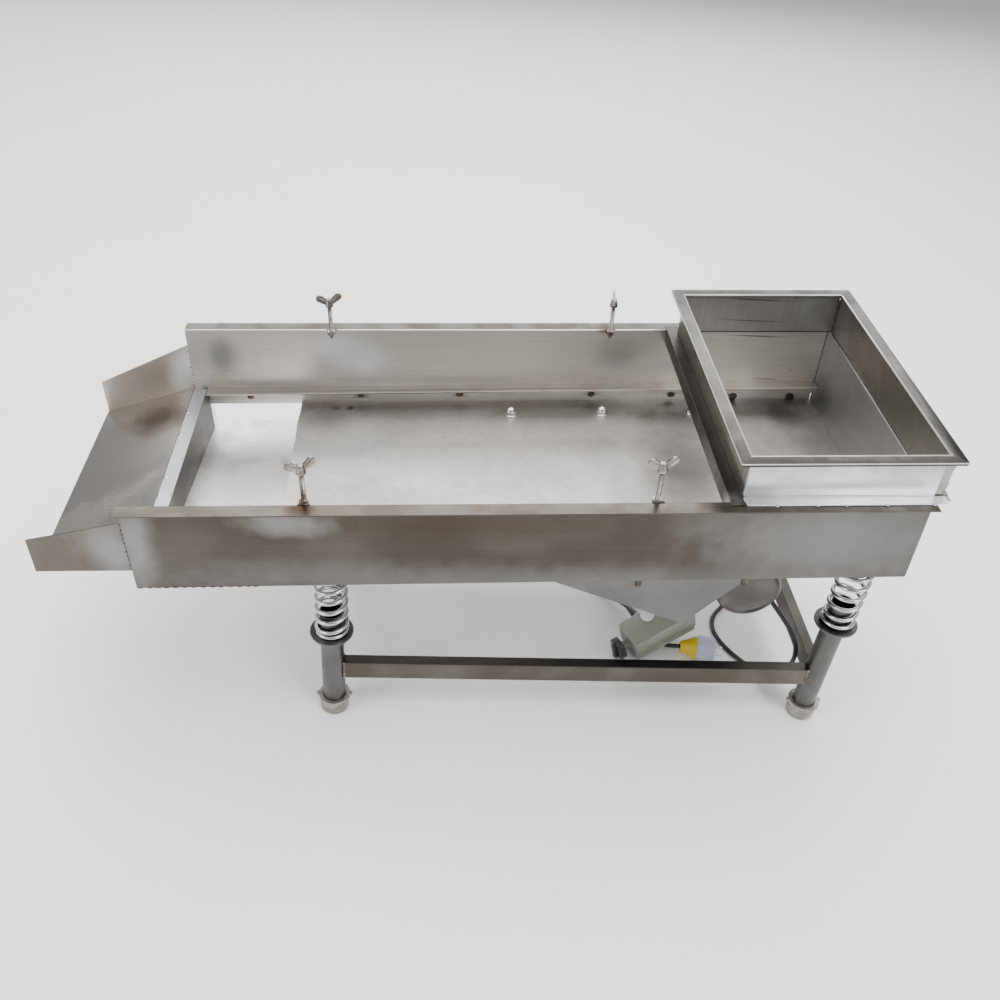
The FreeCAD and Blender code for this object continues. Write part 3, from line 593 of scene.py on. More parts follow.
# end walls: a light copy for the right end and a nearly black one for the left, painted light and shade by facing;
# the dark patch on the right end is painted shade
end_wall_sheet = stainless("end_wall_sheet", grey(0.42, -0.01), grey(0.36, 0.01), (0.36, 0.48), (500, 5, 500), 0.08,
                           marks=[((0.67, 0.20, 0.44), (0.05, 0.06, 0.05), grey(0.2, -0.01), 0.7)])
end_fold_sheet = stainless("end_fold_sheet", grey(0.05, 0.11), grey(0.038, 0.14), (0.4, 0.5), (500, 5, 500), 0.08)
# pan: the grey patches, darkest inside the hopper and near the back, are painted shade and reflections; the two small
# brown spots are real stains
pan_sheet = stainless(
    "pan_sheet", grey(0.43, 0.05), grey(0.38, 0.06), (0.36, 0.46), (60, 60, 60), 0.05, 8,
    [((-0.275, 0.19, 0.355), (0.06, 0.05, 0.03), grey(0.24, 0.02), 0.75),
     ((-0.285, 0.02, 0.355), (0.022, 0.16, 0.03), grey(0.34, 0.0), 0.6),
     ((0.42, 0.185, 0.389), (0.06, 0.05, 0.03), grey(0.22, 0.02), 0.75),
     ((0.38, 0.02, 0.387), (0.10, 0.26, 0.03), grey(0.15, 0.05), 0.85),
     ((0.605, 0.19, 0.398), (0.045, 0.06, 0.03), grey(0.18, 0.02), 0.8),
     ((0.05, 0.225, 0.37), (0.5, 0.02, 0.04), grey(0.38, 0.02), 0.5),
     ((-0.2315, 0.2315, 0.356), (0.010, 0.010, 0.02), (0.10, 0.07, 0.05, 1), 0.8),
     ((-0.2600, 0.2319, 0.355), (0.012, 0.008, 0.02), (0.14, 0.11, 0.09, 1), 0.6)], dirt=0.15)
# undersize chute: the near-white base, the grey patch and the white line are painted reflection, shade and highlight
under_sheet = stainless(
    "under_sheet", grey(0.85, 0.02), grey(0.75, 0.03), (0.4, 0.5), (60, 60, 60), 0.05, 9,
    [((-0.47, 0.21, 0.31), (0.025, 0.05, 0.05), grey(0.35, 0.04), 0.6),
     ((-0.42, 0.13, 0.31), (0.05, 0.012, 0.05), grey(1.0, 0.0), 0.6)])
chute_sheet = stainless(
    "chute_sheet", grey(0.50, 0.08), grey(0.43, 0.10), (0.2, 0.3), (6, 400, 400), 0.05, 5,
    [((-0.539, -0.10, 0.376), (0.020, 0.24, 0.05), grey(0.36, 0.02), 0.6),
     ((-0.584, 0.158, 0.361), (0.060, 0.065, 0.04), (0.12, 0.092, 0.068, 1), 0.75)],
    # the seam line along the chute's joint with the strip is painted shadow of the gap
    seams=[((-0.0008, 0, -0.1244), (0.0016, 0.8, 0.01), near_black, 0.95)])
# up-facing strip of the left end fold: a pale copy, painted light by facing; the two dark dashes are painted shade in
# two slits, the dark patch painted shade in a notch
strip_sheet = stainless(
    "strip_sheet", grey(0.43, -0.04), grey(0.38, -0.03), (0.34, 0.44), (400, 5, 400), 0.06,
    seams=[((0.0206, 0.0254, -0.1243), (0.0013, 0.010, 0.01), near_black, 0.95),
           ((0.0206, -0.0747, -0.1243), (0.0013, 0.009, 0.01), near_black, 0.95),
           ((0.0189, 0.249, -0.1243), (0.008, 0.006, 0.01), grey(0.08, 0.05), 0.9)])
# chute wings: the dark front and bright back wing are shaded and lit copies of one sheet; the patch on each is a
# painted reflection, near white on the back one
wing_sheet = stainless(
    "wing_sheet", grey(0.125, 0.11), grey(0.09, 0.15), (0.34, 0.46), (5, 400, 400), 0.08, 7,
    [((-0.555, -0.25, 0.41), (0.045, 0.05, 0.07), grey(0.21, 0.01), 0.8)])
back_wing_sheet = stainless(
    "back_wing_sheet", grey(0.62, 0.08), grey(0.50, 0.12), (0.34, 0.46), (5, 400, 400), 0.08, 7,
    [((-0.545, 0.25, 0.42), (0.035, 0.05, 0.06), grey(0.95, -0.04), 0.85)])
# hopper front and back: the near-white patch on the front face and the white band at its base are painted reflection
# and highlight, the lighter patch on the back a painted reflection; the dark line at the back upright's lower edge is
# painted shadow of the gap
hopper_sheet = stainless(
    "hopper_sheet", grey(0.46, 0.02), grey(0.38, 0.04), (0.28, 0.38), (260, 260, 3), 0.14, 8,
    [((0.55, -0.246, 0.56), (0.28, 0.02, 0.05), grey(0.80, -0.04), 0.9),
     ((0.62, 0.2433, 0.60), (0.04, 0.02, 0.05), grey(0.5, -0.02), 0.6),
     ((0.516, 0.2433, 0.615), (0.075, 0.02, 0.0018), near_black, 0.85),
     ((0.515, 0.2433, 0.5722), (0.075, 0.02, 0.0014), near_black, 0.75)],
    seams=[((1.058, -0.258, 0.001), (0.5, 0.025, 0.006), grey(1.0, -0.03), 1.0),
           ((1.058, -0.2458, 0.0034), (0.5, 0.004, 0.0011), (0.06, 0.055, 0.08, 1), 0.9),
           ((1.058, 0.2433, 0.0016), (0.6, 0.006, 0.0019), near_black, 0.95)])
# left and right hopper walls: darker copies of the hopper sheet, painted shade by facing, each with a lighter patch
# painted as a reflection; the dark line at the right wall's lower edge is painted shadow of the gap
hopper_side_sheet = stainless(
    "hopper_side_sheet", grey(0.26, 0.05), grey(0.19, 0.08), (0.28, 0.38), (260, 260, 3), 0.14, 8,
    [((0.335, -0.22, 0.56), (0.03, 0.05, 0.05), grey(0.34, -0.02), 0.6)])
hopper_end_sheet = stainless(
    "hopper_end_sheet", grey(0.31, 0.05), grey(0.24, 0.08), (0.26, 0.36), (260, 260, 3), 0.12, 8,
    [((0.67, 0.19, 0.58), (0.04, 0.05, 0.05), grey(0.36, -0.03), 0.7)],
    seams=[((1.202, 0, 0.0016), (0.006, 0.9, 0.0019), near_black, 0.95)])
# ledges: the two long dark bands on the back ledge's upright face are painted shadow under the ledge, the spots at
# the legs real rust; the top faces get their own darker copy, painted shade by facing, with a real brown line
angle_bar = stainless(
    "angle_bar", grey(0.60, 0.04), grey(0.52, 0.08), (0.34, 0.46), (5, 400, 400), 0.08, 12,
    [((-0.10, 0.2255, 0.398), (0.42, 0.003, 0.03), (0.06, 0.042, 0.03, 1), 0.8),
     ((0.45, 0.2255, 0.43), (0.20, 0.003, 0.03), (0.10, 0.08, 0.06, 1), 0.6)]
    + [((x, 0.25, z - 0.004), (0.02, 0.012, 0.016), (0.13, 0.10, 0.075, 1), 0.6)
       for x, z in ((-0.2115, 0.3768), (-0.0215, 0.3845), (0.2352, 0.3949), (0.3929, 0.4001))])
ledge_top_sheet = stainless(
    "ledge_top_sheet", grey(0.36, 0.07), grey(0.28, 0.12), (0.34, 0.46), (5, 400, 400), 0.08, 12,
    [((0.0, 0.2335, 0.40), (0.55, 0.0022, 0.06), brown, 0.75)])
# the light grey spot at the front end of the cross angle is a painted reflection
cross_bar = stainless("cross_bar", grey(0.052, 0.13), grey(0.033, 0.18), (0.32, 0.44), (400, 5, 400), 0.1, 12,
                      [((0.36, -0.25, 0.53), (0.03, 0.03, 0.02), grey(0.4, -0.03), 0.8)])
bracket_steel = stainless("bracket_steel", grey(0.165, 0.03), grey(0.145, 0.04), (0.4, 0.5), (200, 200, 200), 0.08, 8)
tube_steel = stainless("tube_steel", grey(0.125, 0.03), grey(0.10, 0.05), (0.32, 0.42), (400, 400, 5), 0.08, 12)
# rails: the thin dark layer at the height of the rail tops is painted shade on the tops under the trough
rail_steel = stainless(
    "rail_steel", grey(0.115, 0.12), grey(0.078, 0.18), (0.3, 0.42), (5, 500, 500), 0.1, 7,
    [((0.40, -0.21, 0.10), (0.10, 0.03, 0.03), grey(0.065, 0.2), 0.5),
     ((0.2, 0.0, 0.1245), (2.5, 2.5, 0.006), grey(0.065, 0.1), 0.85)])
bright_steel = stainless("bright_steel", grey(0.62, 0.01), grey(0.50, 0.03), (0.16, 0.26), (80, 80, 80), 0.04, 40)
spring_steel = stainless("spring_steel", grey(0.60, -0.02), grey(0.52, 0.0), (0.16, 0.26), (120, 120, 120), 0.04, 30)
foot_steel = stainless("foot_steel", grey(0.40, 0.07), grey(0.25, 0.11), (0.4, 0.55), (120, 120, 120), 0.2, 60)
weld_steel = stainless("weld_steel", grey(0.24, 0.06), grey(0.13, 0.12), (0.3, 0.5), (300, 300, 300), 0.3, 90)
weld_dark = stainless("weld_dark", grey(0.13, 0.16), grey(0.06, 0.2), (0.4, 0.6), (300, 300, 300), 0.3, 60)
casting = coated("motor_casting", (0.11, 0.13, 0.14, 1), (0.085, 0.10, 0.11, 1), (0.45, 0.6), 20, 260, 0.35)
hood_paint = coated("hood_paint", (0.265, 0.285, 0.24, 1), (0.24, 0.258, 0.215, 1), (0.38, 0.5), 14, 500, 0.06)
plug_grey = coated("plug_grey", (0.50, 0.54, 0.63, 1), (0.44, 0.48, 0.57, 1), (0.35, 0.48), 22, 600, 0.06)
plug_yellow = coated("plug_yellow", (0.74, 0.50, 0.015, 1), (0.62, 0.42, 0.012, 1), (0.38, 0.5), 26, 600, 0.06)
white_plastic = coated("white_plastic", (0.78, 0.79, 0.78, 1), (0.7, 0.71, 0.7, 1), (0.35, 0.48), 30, 600, 0.06)

# ---------------------------------------------------------------- trough

finished("right_end_wall", end_wall_sheet)
finished("undersize_chute", under_sheet)
finished("oversize_plate", chute_sheet)
finished("front_chute_wing", wing_sheet)
finished("back_chute_wing", back_wing_sheet)
finished("hopper_cross_angle", cross_bar, 0.0006)
finished("spring_caps", bracket_steel, 0.001)


def tint_and_shade_by_facing(piece, direction, material):
    """Gives the faces that look along a direction another copy of the steel, brighter or darker: painted light and
    shade by facing, which on the flanges also carries their brown tint.
    """
    piece.data.materials.append(material)
    for face in piece.data.polygons:
        if face.normal.dot(direction) > 0.9:
            face.material_index = len(piece.data.materials) - 1


trough_up = trough.to_3x3() @ Vector((0, 0, 1))


def folded_wall(node, material, flange_material):
    """Long wall of the trough whose top is folded outwards over a small radius."""
    bm = merged_copy(node)
    back = trough.inverted()
    fold = [e for e in bm.edges if all(abs(abs(v.co.y) - half_width) < 0.0003 and (back @ v.co).z > -0.0005
                                       for v in e.verts)]
    bmesh.ops.bevel(bm, geom=fold, offset=0.0028, offset_type="OFFSET", segments=5, profile=0.5,
                    affect="EDGES", material=-1)
    piece = finish_piece(node + "_folded", bm, "trough", material, (node,), 0.0005)
    # the flange tops and the faces looking towards +y get their own brighter or darker copies: painted light and
    # shade by facing
    tint_and_shade_by_facing(piece, trough_up, flange_material)
    tint_and_shade_by_facing(piece, Vector((0, 1, 0)), plain_wall_sheet)
    return piece


# the ledges' top faces get a darker copy of the angle steel: painted shade by facing
for side in ("front", "back"):
    tint_and_shade_by_facing(finished(f"{side}_ledge", angle_bar, 0.0008), trough_up, ledge_top_sheet)
folded_wall("front_wall", front_wall_sheet, front_flange_sheet)
folded_wall("back_wall", back_wall_sheet, back_flange_sheet)


def end_fold():
    """Folded end of the trough: its upward faces get a pale copy and the rest a much darker one, painted light on top
    and painted shade below.
    """
    bm = merged_copy("left_end_wall")
    piece = finish_piece("left_end_fold", bm, "trough", end_fold_sheet, ("left_end_wall",), 0.0005)
    tint_and_shade_by_facing(piece, trough_up, strip_sheet)
    return piece


def cut_pan():
    """Pan whose left edge was cut by hand, a little uneven."""
    bm = merged_copy("bottom_pan")
    left = [e for e in bm.edges if all((pan.inverted() @ v.co).x < 0.2003 for v in e.verts)
            and abs(e.verts[0].co.y - e.verts[1].co.y) > 0.4]
    bmesh.ops.subdivide_edges(bm, edges=left, cuts=70)
    drift = {}
    along = pan.to_3x3() @ Vector((1, 0, 0))
    for vert in bm.verts:
        if (pan.inverted() @ vert.co).x < 0.2003 and abs(vert.co.y) < half_width - 0.002:
            key = round(vert.co.y, 4)
            wave = 0.0007 * math.sin(key * 61) + 0.0005 * math.sin(key * 23 + 1)
            drift.setdefault(key, wave + random.uniform(-0.0005, 0.0007))
            vert.co += along * drift[key]
    return finish_piece("pan_cut", bm, "trough", pan_sheet, ("bottom_pan",), 0.0003)


end_fold()
cut_pan()

# ---------------------------------------------------------------- hopper

finished("hopper_front", hopper_sheet, 0.0006)
finished("hopper_back", hopper_sheet, 0.0006)
finished("hopper_left", hopper_side_sheet, 0.0006)
finished("hopper_right", hopper_end_sheet, 0.0006)


def hopper_rim():
    """Thick round-edged rim folded out round the hopper's mouth, mitred at its corners."""
    bm = bmesh.new()
    reach = hopper_flange
    x0, x1 = hopper_start, hopper_end
    y = half_width - hopper_inset
    inner = [(x0, -y), (x1, -y), (x1, y), (x0, y)]
    outer = [(x0 - reach, -y - reach), (x1 + reach, -y - reach), (x1 + reach, y + reach), (x0 - reach, y + reach)]
    top = hopper_height + 0.0006
    inner_verts = [bm.verts.new((a, b, top)) for a, b in inner]
    outer_verts = [bm.verts.new((a, b, top)) for a, b in outer]
    for i in range(4):
        j = (i + 1) % 4
        bm.faces.new((outer_verts[i], outer_verts[j], inner_verts[j], inner_verts[i]))
    grown = bmesh.ops.extrude_face_region(bm, geom=bm.faces[:])["geom"]
    lower = [g for g in grown if isinstance(g, bmesh.types.BMVert)]
    bmesh.ops.translate(bm, verts=lower, vec=(0, 0, -0.0066))
    bmesh.ops.recalc_face_normals(bm, faces=bm.faces[:])
    corner = [e for e in bm.edges if abs(e.verts[0].co.z - e.verts[1].co.z) > 0.004
              and (min(v.co.x for v in e.verts) < x0 - 0.01 or max(v.co.x for v in e.verts) > x1 + 0.01)]
    bmesh.ops.bevel(bm, geom=corner, offset=0.005, offset_type="OFFSET", segments=4, profile=0.5,
                    affect="EDGES", material=-1)
    mouth = [e for e in bm.edges if all(v.co.z > top - 0.001 and x0 - 0.001 < v.co.x < x1 + 0.001
                                        and abs(v.co.y) < y + 0.001 for v in e.verts)]
    bmesh.ops.bevel(bm, geom=mouth, offset=0.0055, offset_type="OFFSET", segments=6, profile=0.5,
                    affect="EDGES", material=-1)
    outside = [e for e in bm.edges if len(e.link_faces) == 2 and e.calc_face_angle() > 1.2
               and abs(e.verts[0].co.z - e.verts[1].co.z) < 0.001
               and (abs(e.verts[0].co.y) > y + 0.002 or not x0 - 0.002 < e.verts[0].co.x < x1 + 0.002)]
    bmesh.ops.bevel(bm, geom=outside, offset=0.0025, offset_type="OFFSET", segments=4, profile=0.5,
                    affect="EDGES", material=-1)
    bmesh.ops.transform(bm, matrix=trough, verts=bm.verts[:])
    # rim: a dark copy with its left and right ends lighter, painted reflection and shade by facing
    rim_sheet = stainless(
        "rim_sheet", grey(0.062, 0.09), grey(0.045, 0.12), (0.26, 0.38), (40, 40, 300), 0.12, 18,
        [((0.37, 0.0, 0.62), (0.03, 0.24, 0.08), grey(0.14, 0.06), 0.85),
         ((0.68, 0.0, 0.63), (0.03, 0.24, 0.08), grey(0.11, 0.07), 0.85)])
    return finish_piece("hopper_rim", bm, "trough", rim_sheet)


hopper_rim()

# ---------------------------------------------------------------- welds


def welds(name, body, places, size, material):
    """Row of small weld lumps at given places."""
    bm = bmesh.new()
    for place in places:
        bead(bm, place, size)
    return finish_piece(name, bm, body, material)


strip_tacks = [pan @ move(0.003 + 0.001 * (i % 2), y, wall_height - ledge_depth + 0.0003)
               for i, y in enumerate((0.166, 0.0985, 0.042, -0.028, -0.0775))]
welds("strip_tacks", "trough", strip_tacks, (0.0038, 0.0045, 0.0014), bright_steel)
leg_spots = ((-0.4237, 0.3619), (-0.2115, 0.3768), (-0.0215, 0.3845), (0.2352, 0.3949), (0.3929, 0.4001),
             (0.5166, 0.4017), (0.6308, 0.4039))
ledge_tacks = [move(x, 0.2497, z) for x, z in leg_spots]
welds("ledge_tacks", "trough", ledge_tacks, (0.0075, 0.0022, 0.0065), weld_dark)
wall_dashes = [pan @ move(0.006 + 0.0135 * i + random.uniform(-0.002, 0.002), -half_width - 0.002, 0.0004)
               for i in range(14)]
welds("wall_dashes", "trough", wall_dashes, (0.0042, 0.0011, 0.0013), weld_dark)
base_tacks = [trough @ move(u, -half_width + hopper_inset - 0.0225, 0.001)
              for u in (0.959, 1.019, 1.062, 1.123, 1.194)]
welds("base_tacks", "trough", base_tacks, (0.0036, 0.0024, 0.0016), bright_steel)
lip_tacks = [trough @ move(hopper_end + 0.0145, -half_width + hopper_inset + 0.0005, z) for z in (0.022, 0.052)]
welds("lip_tacks", "trough", lip_tacks, (0.002, 0.0022, 0.0042), bright_steel)
corner_beads = [trough @ move(hopper_end - 0.0022, s * (half_width - hopper_inset - 0.0022), 0.004 + 0.0042 * i)
                for s in (-1, 1) for i in range(16)]
corner_beads += [trough @ move(hopper_start + 0.0022, s * (half_width - hopper_inset - 0.0022), 0.004 + 0.0042 * i)
                 for s in (-1, 1) for i in range(16)]
welds("hopper_corner_beads", "trough", corner_beads, (0.0012, 0.0012, 0.0027), weld_dark)
wing_beads = [trough @ move(-0.0012, s * (half_width + 0.0012), -0.122 + 0.0085 * i)
              for s in (-1, 1) for i in range(11)]
welds("wing_beads", "trough", wing_beads, (0.0016, 0.0016, 0.003), weld_dark)
rail_beads = []
for x, side in ((left_leg_x, 1), (right_leg_x, -1)):
    for y in (-leg_y, leg_y):
        for z in (0.089, 0.097, 0.105, 0.113, 0.121):
            for out in (-1, 1):
                rail_beads.append(move(x + side * 0.0185, y + out * 0.0098, z))
            rail_beads.append(move(x + 0.0098 * side, y - math.copysign(0.0185, y), z))
welds("rail_beads", "stand", rail_beads, (0.0026, 0.0026, 0.0042), weld_steel)

seam_beads = [trough @ move(trough_length - 0.0006, side * (half_width - 0.0006), -0.118 + 0.0042 * i)
              for side in (-1, 1) for i in range(28)]
welds("end_seam_beads", "trough", seam_beads, (0.0011, 0.0011, 0.0026), weld_dark)


# ---------------------------------------------------------------- wing screws


def wing(bm, side):
    """One paddle of a wing screw: thin at its root, round and dished at its end."""
    part = bmesh.new()
    bmesh.ops.create_cone(part, cap_ends=True, segments=24, radius1=0.0066, radius2=0.0066, depth=0.003,
                          matrix=move(side * 0.0168, 0, 0.0693) @ turn(90, "X"))
    bmesh.ops.create_cone(part, cap_ends=True, segments=16, radius1=0.0045, radius2=0.0045, depth=0.0052,
                          matrix=move(side * 0.003, 0, 0.0592) @ turn(90, "X"))
    hull = bmesh.ops.convex_hull(part, input=part.verts[:])
    spare = {g for g in hull["geom_interior"] + hull["geom_unused"] if g.is_valid}
    verts = [g for g in spare if isinstance(g, bmesh.types.BMVert)]
    bmesh.ops.delete(part, geom=verts, context="VERTS")
    kept = {g for g in hull["geom"] if isinstance(g, bmesh.types.BMFace) and g.is_valid}
    bmesh.ops.delete(part, geom=[f for f in part.faces if f not in kept], context="FACES_ONLY")
    bmesh.ops.dissolve_limit(part, angle_limit=math.radians(2), verts=part.verts[:], edges=part.edges[:])
    tidy_shell(part)
    flat = [f for f in part.faces if abs(f.normal.y) > 0.9 and f.calc_area() > 5e-5]
    for face in flat:
        out = face.normal.copy()
        bmesh.ops.inset_region(part, faces=[face], thickness=0.0016, depth=0.0)
        bmesh.ops.translate(part, verts=face.verts[:], vec=out * -0.0006)
    rims = [e for e in part.edges if len(e.link_faces) == 2 and e.calc_face_angle() > 0.9]
    bmesh.ops.bevel(part, geom=rims, offset=0.0007, offset_type="OFFSET", segments=3, profile=0.5,
                    affect="EDGES", material=-1, clamp_overlap=True)
    add_part(bm, part)


def wing_screw(corner, u, side, angle, material):
    """Threaded rod with a turned hub and two cast wings."""
    bm = bmesh.new()
    thread(bm, 0.004, 0.00125, 0.0655, move(0, 0, 0.0525))
    lathe(bm, [(0, 0.0515), (0.0066, 0.0515), (0.0078, 0.0528), (0.0078, 0.0556), (0.0070, 0.0582),
               (0.0060, 0.0632), (0.0056, 0.0655), (0.0046, 0.0672), (0.0024, 0.0682), (0, 0.0684)],
          Matrix.Identity(4), 32)
    bmesh.ops.remove_doubles(bm, verts=bm.verts[:], dist=2e-6)
    bmesh.ops.recalc_face_normals(bm, faces=bm.faces[:])
    for out in (-1, 1):
        wing(bm, out)
    place = trough @ move(u, side * screw_axis_y, 0) @ turn(angle, "Z")
    bmesh.ops.transform(bm, matrix=place, verts=bm.verts[:])
    return finish_piece(f"wing_screw_{corner}", bm, f"screw_{corner}", material,
                        (f"clamp_screw_{corner}",))


screw_turns = {"front_left": 25.0, "front_right": 10.0, "back_left": 15.0, "back_right": 85.0}
old_screw = stainless("old_screw", grey(0.30, 0.09), grey(0.18, 0.2), (0.24, 0.4), (150, 150, 150), 0.1, 90,
                      [((-0.27, -0.2465, 0.525), (0.02, 0.02, 0.022), rust, 0.9)], dirt=0.3, dirt_tone=rust)
screw_steel = stainless("screw_steel", grey(0.32, 0.04), grey(0.22, 0.10), (0.24, 0.38), (150, 150, 150), 0.08, 90)
for corner, angle in screw_turns.items():
    near, end = corner.split("_")
    steel = old_screw if corner == "front_left" else screw_steel
    wing_screw(corner, screw_places[end], -1 if near == "front" else 1, angle, steel)
nut_steel = stainless("nut_steel", grey(0.42, 0.03), grey(0.30, 0.08), (0.2, 0.34), (120, 120, 120), 0.1, 60,
                      [((-0.27, -0.2465, 0.513), (0.02, 0.02, 0.02), rust, 0.95),
                       ((0.247, 0.2465, 0.536), (0.02, 0.02, 0.02), brown, 0.8)])
finished("clamp_nuts", nut_steel, 0.0006)
nut_welds = []
for u in screw_places.values():
    for side in (-1, 1):
        for i in range(7):
            swing = math.radians(-70 + 140 * i / 6)
            nut_welds.append(trough @ move(u + 0.0078 * math.sin(swing), side * (screw_axis_y + 0.0074), 0.0004))
welds("nut_welds", "trough", nut_welds, (0.0024, 0.0018, 0.0013), weld_dark)

# ---------------------------------------------------------------- pan bolts


def pan_bolts():
    """Six bolts: washer and domed nut on the pan, hexagon nut and stud below it."""
    bm = bmesh.new()
    for index, u in enumerate(bolt_places):
        for side in (-1, 1):
            foot = pan @ move(u, side * bolt_axis_y, 0) @ turn(13 * index + 20 * side, "Z")
            up = foot @ move(0, 0, 0.002)
            lathe(bm, [(0, 0.0012), (0.0105, 0.0012), (0.0112, 0.0007), (0.0112, 0.0), (0, 0)], up, 32)
            hex_solid(bm, 0.018, 0.0062, up @ move(0, 0, 0.0012))
            if index == 2 and side > 0:
                lathe(bm, [(0.0058, 0.007), (0.0058, 0.0145), (0.0048, 0.0156), (0, 0.0156)], up, 24)
            else:
                dome = [(0.0086 * math.cos(math.radians(a)), 0.0072 + 0.0084 * math.sin(math.radians(a)))
                        for a in range(0, 91, 10)]
                lathe(bm, dome, up, 32)
            hex_solid(bm, 0.018, 0.009, foot @ move(0, 0, -0.013))
            thread(bm, 0.006, 0.00175, 0.0135, foot @ move(0, 0, -0.0125), 16)
    tidy_shell(bm, 2e-6)
    stains = [(pan @ Vector((bolt_places[2], bolt_axis_y, 0.012)), (0.02, 0.02, 0.012), brown, 0.8)]
    stains += [(pan @ Vector((u, -bolt_axis_y, -0.02)), (0.02, 0.02, 0.014), (0.2, 0.11, 0.06, 1), 0.8)
               for u in bolt_places]
    steel = stainless("dome_steel", grey(0.72, 0.01), grey(0.55, 0.03), (0.12, 0.24), (90, 90, 90), 0.05, 60, stains)
    return finish_piece("pan_bolt_set", bm, "trough", steel, ("pan_bolts",), 0)


pan_bolts()


def wall_studs():
    """Two short studs with nuts under the pan, close behind the front wall."""
    bm = bmesh.new()
    for u in (0.779, 0.949):
        foot = pan @ move(u, -0.243, -0.002)
        hex_solid(bm, 0.013, 0.0065, foot @ move(0, 0, -0.0065))
        lathe(bm, [(0, -0.0195), (0.0044, -0.0195), (0.0052, -0.0185), (0.0052, -0.006), (0, -0.006)], foot, 24)
    tidy_shell(bm, 2e-6)
    return finish_piece("wall_studs", bm, "trough", stud_steel)


stud_steel = stainless("stud_steel", grey(0.085, 0.2), grey(0.055, 0.25), (0.34, 0.5), (200, 200, 200), 0.1, 90)
wall_studs()

# ---------------------------------------------------------------- motor and bracket

finished("bracket_front", bracket_steel, 0.0009)
finished("bracket_back", bracket_steel, 0.0009)
finished("motor_mount_plate", bracket_steel, 0.0009)
finished("motor_body", casting, 0.0015, 3)
finished("terminal_box", casting, 0.0012, 3)


def motor_cover(side):
    """Deep-drawn cover with a rolled rim round a faintly dished face."""
    bm = bmesh.new()
    r = motor_cover_radius
    place = motor @ turn(90 * side, "X").inverted()
    profile = [(0, cover_start), (r - 0.001, cover_start), (r, cover_start + 0.001), (r, cover_end - 0.006),
               (r - 0.0006, cover_end - 0.003), (r - 0.0022, cover_end - 0.0008), (r - 0.004, cover_end),
               (r - 0.006, cover_end - 0.0006), (r - 0.0075, cover_end - 0.0022), (r - 0.010, cover_end - 0.003),
               (r * 0.5, cover_end - 0.0024), (r * 0.2, cover_end - 0.0022), (0, cover_end - 0.0022)]
    lathe(bm, profile, place, 72)
    tidy_shell(bm)
    cover_steel = bpy.data.materials.get("cover_steel") or stainless(
        "cover_steel", grey(0.098, 0.06), grey(0.078, 0.08), (0.3, 0.42), (300, 6, 300), 0.16, 14)
    return finish_piece("motor_cover_front" if side < 0 else "motor_cover_back", bm, "trough",
                        cover_steel, ("motor_covers",))


motor_cover(-1)
motor_cover(1)


def motor_fittings():
    """Foot bolts with washers and the lid screws of the terminal box."""
    bm = bmesh.new()
    for x in (-0.046, 0.046):
        for y in (-0.051, 0.051):
            foot = motor @ move(x, y, -0.052)
            lathe(bm, [(0, 0.0018), (0.0095, 0.0018), (0.0100, 0.0012), (0.0100, 0), (0, 0)], foot, 28)
            hex_solid(bm, 0.013, 0.0075, foot @ move(0, 0, 0.0018))
    for x in (-0.024, 0.024):
        for y in (-0.026, 0.026):
            top = motor @ move(x, y, 0.0826)
            lathe(bm, [(0, 0.0022), (0.0022, 0.0022), (0.0036, 0.0014), (0.004, 0.0), (0, 0)], top, 20)
    tidy_shell(bm, 2e-6)
    return finish_piece("motor_fittings", bm, "trough", bright_steel)


def terminal_lid():
    bm = bmesh.new()
    verts = block(bm, (0.062, 0.066, 0.005), motor @ move(0, 0, 0.0805))
    bmesh.ops.bevel(bm, geom=bm.edges[:], offset=0.0018, offset_type="OFFSET", segments=3, profile=0.5,
                    affect="EDGES", material=-1)
    return finish_piece("terminal_lid", bm, "trough", casting)


def gland(name, place, radius, nut, length, body, material, stands_for=()):
    """Cable gland: hexagon body, domed cap and its mouth, along the local Z of a place."""
    bm = bmesh.new()
    hex_solid(bm, radius * 1.75, nut, place, 0.0008)
    cap = length - nut
    profile = [(radius * 0.86, nut * 0.9), (radius * 0.86, nut + cap * 0.35), (radius * 0.8, nut + cap * 0.6),
               (radius * 0.68, nut + cap * 0.85), (radius * 0.55, length), (0.0044, length), (0.0044, nut)]
    lathe(bm, profile, place, 36)
    tidy_shell(bm, 2e-6)
    return finish_piece(name, bm, body, material, stands_for, 0)


motor_fittings()
terminal_lid()
gland("motor_gland_set", motor @ move(0, -0.034, 0.068) @ turn(90, "X"), 0.010, 0.009, 0.021, "trough",
      black_plastic, ("motor_gland",))

# ---------------------------------------------------------------- springs and stand


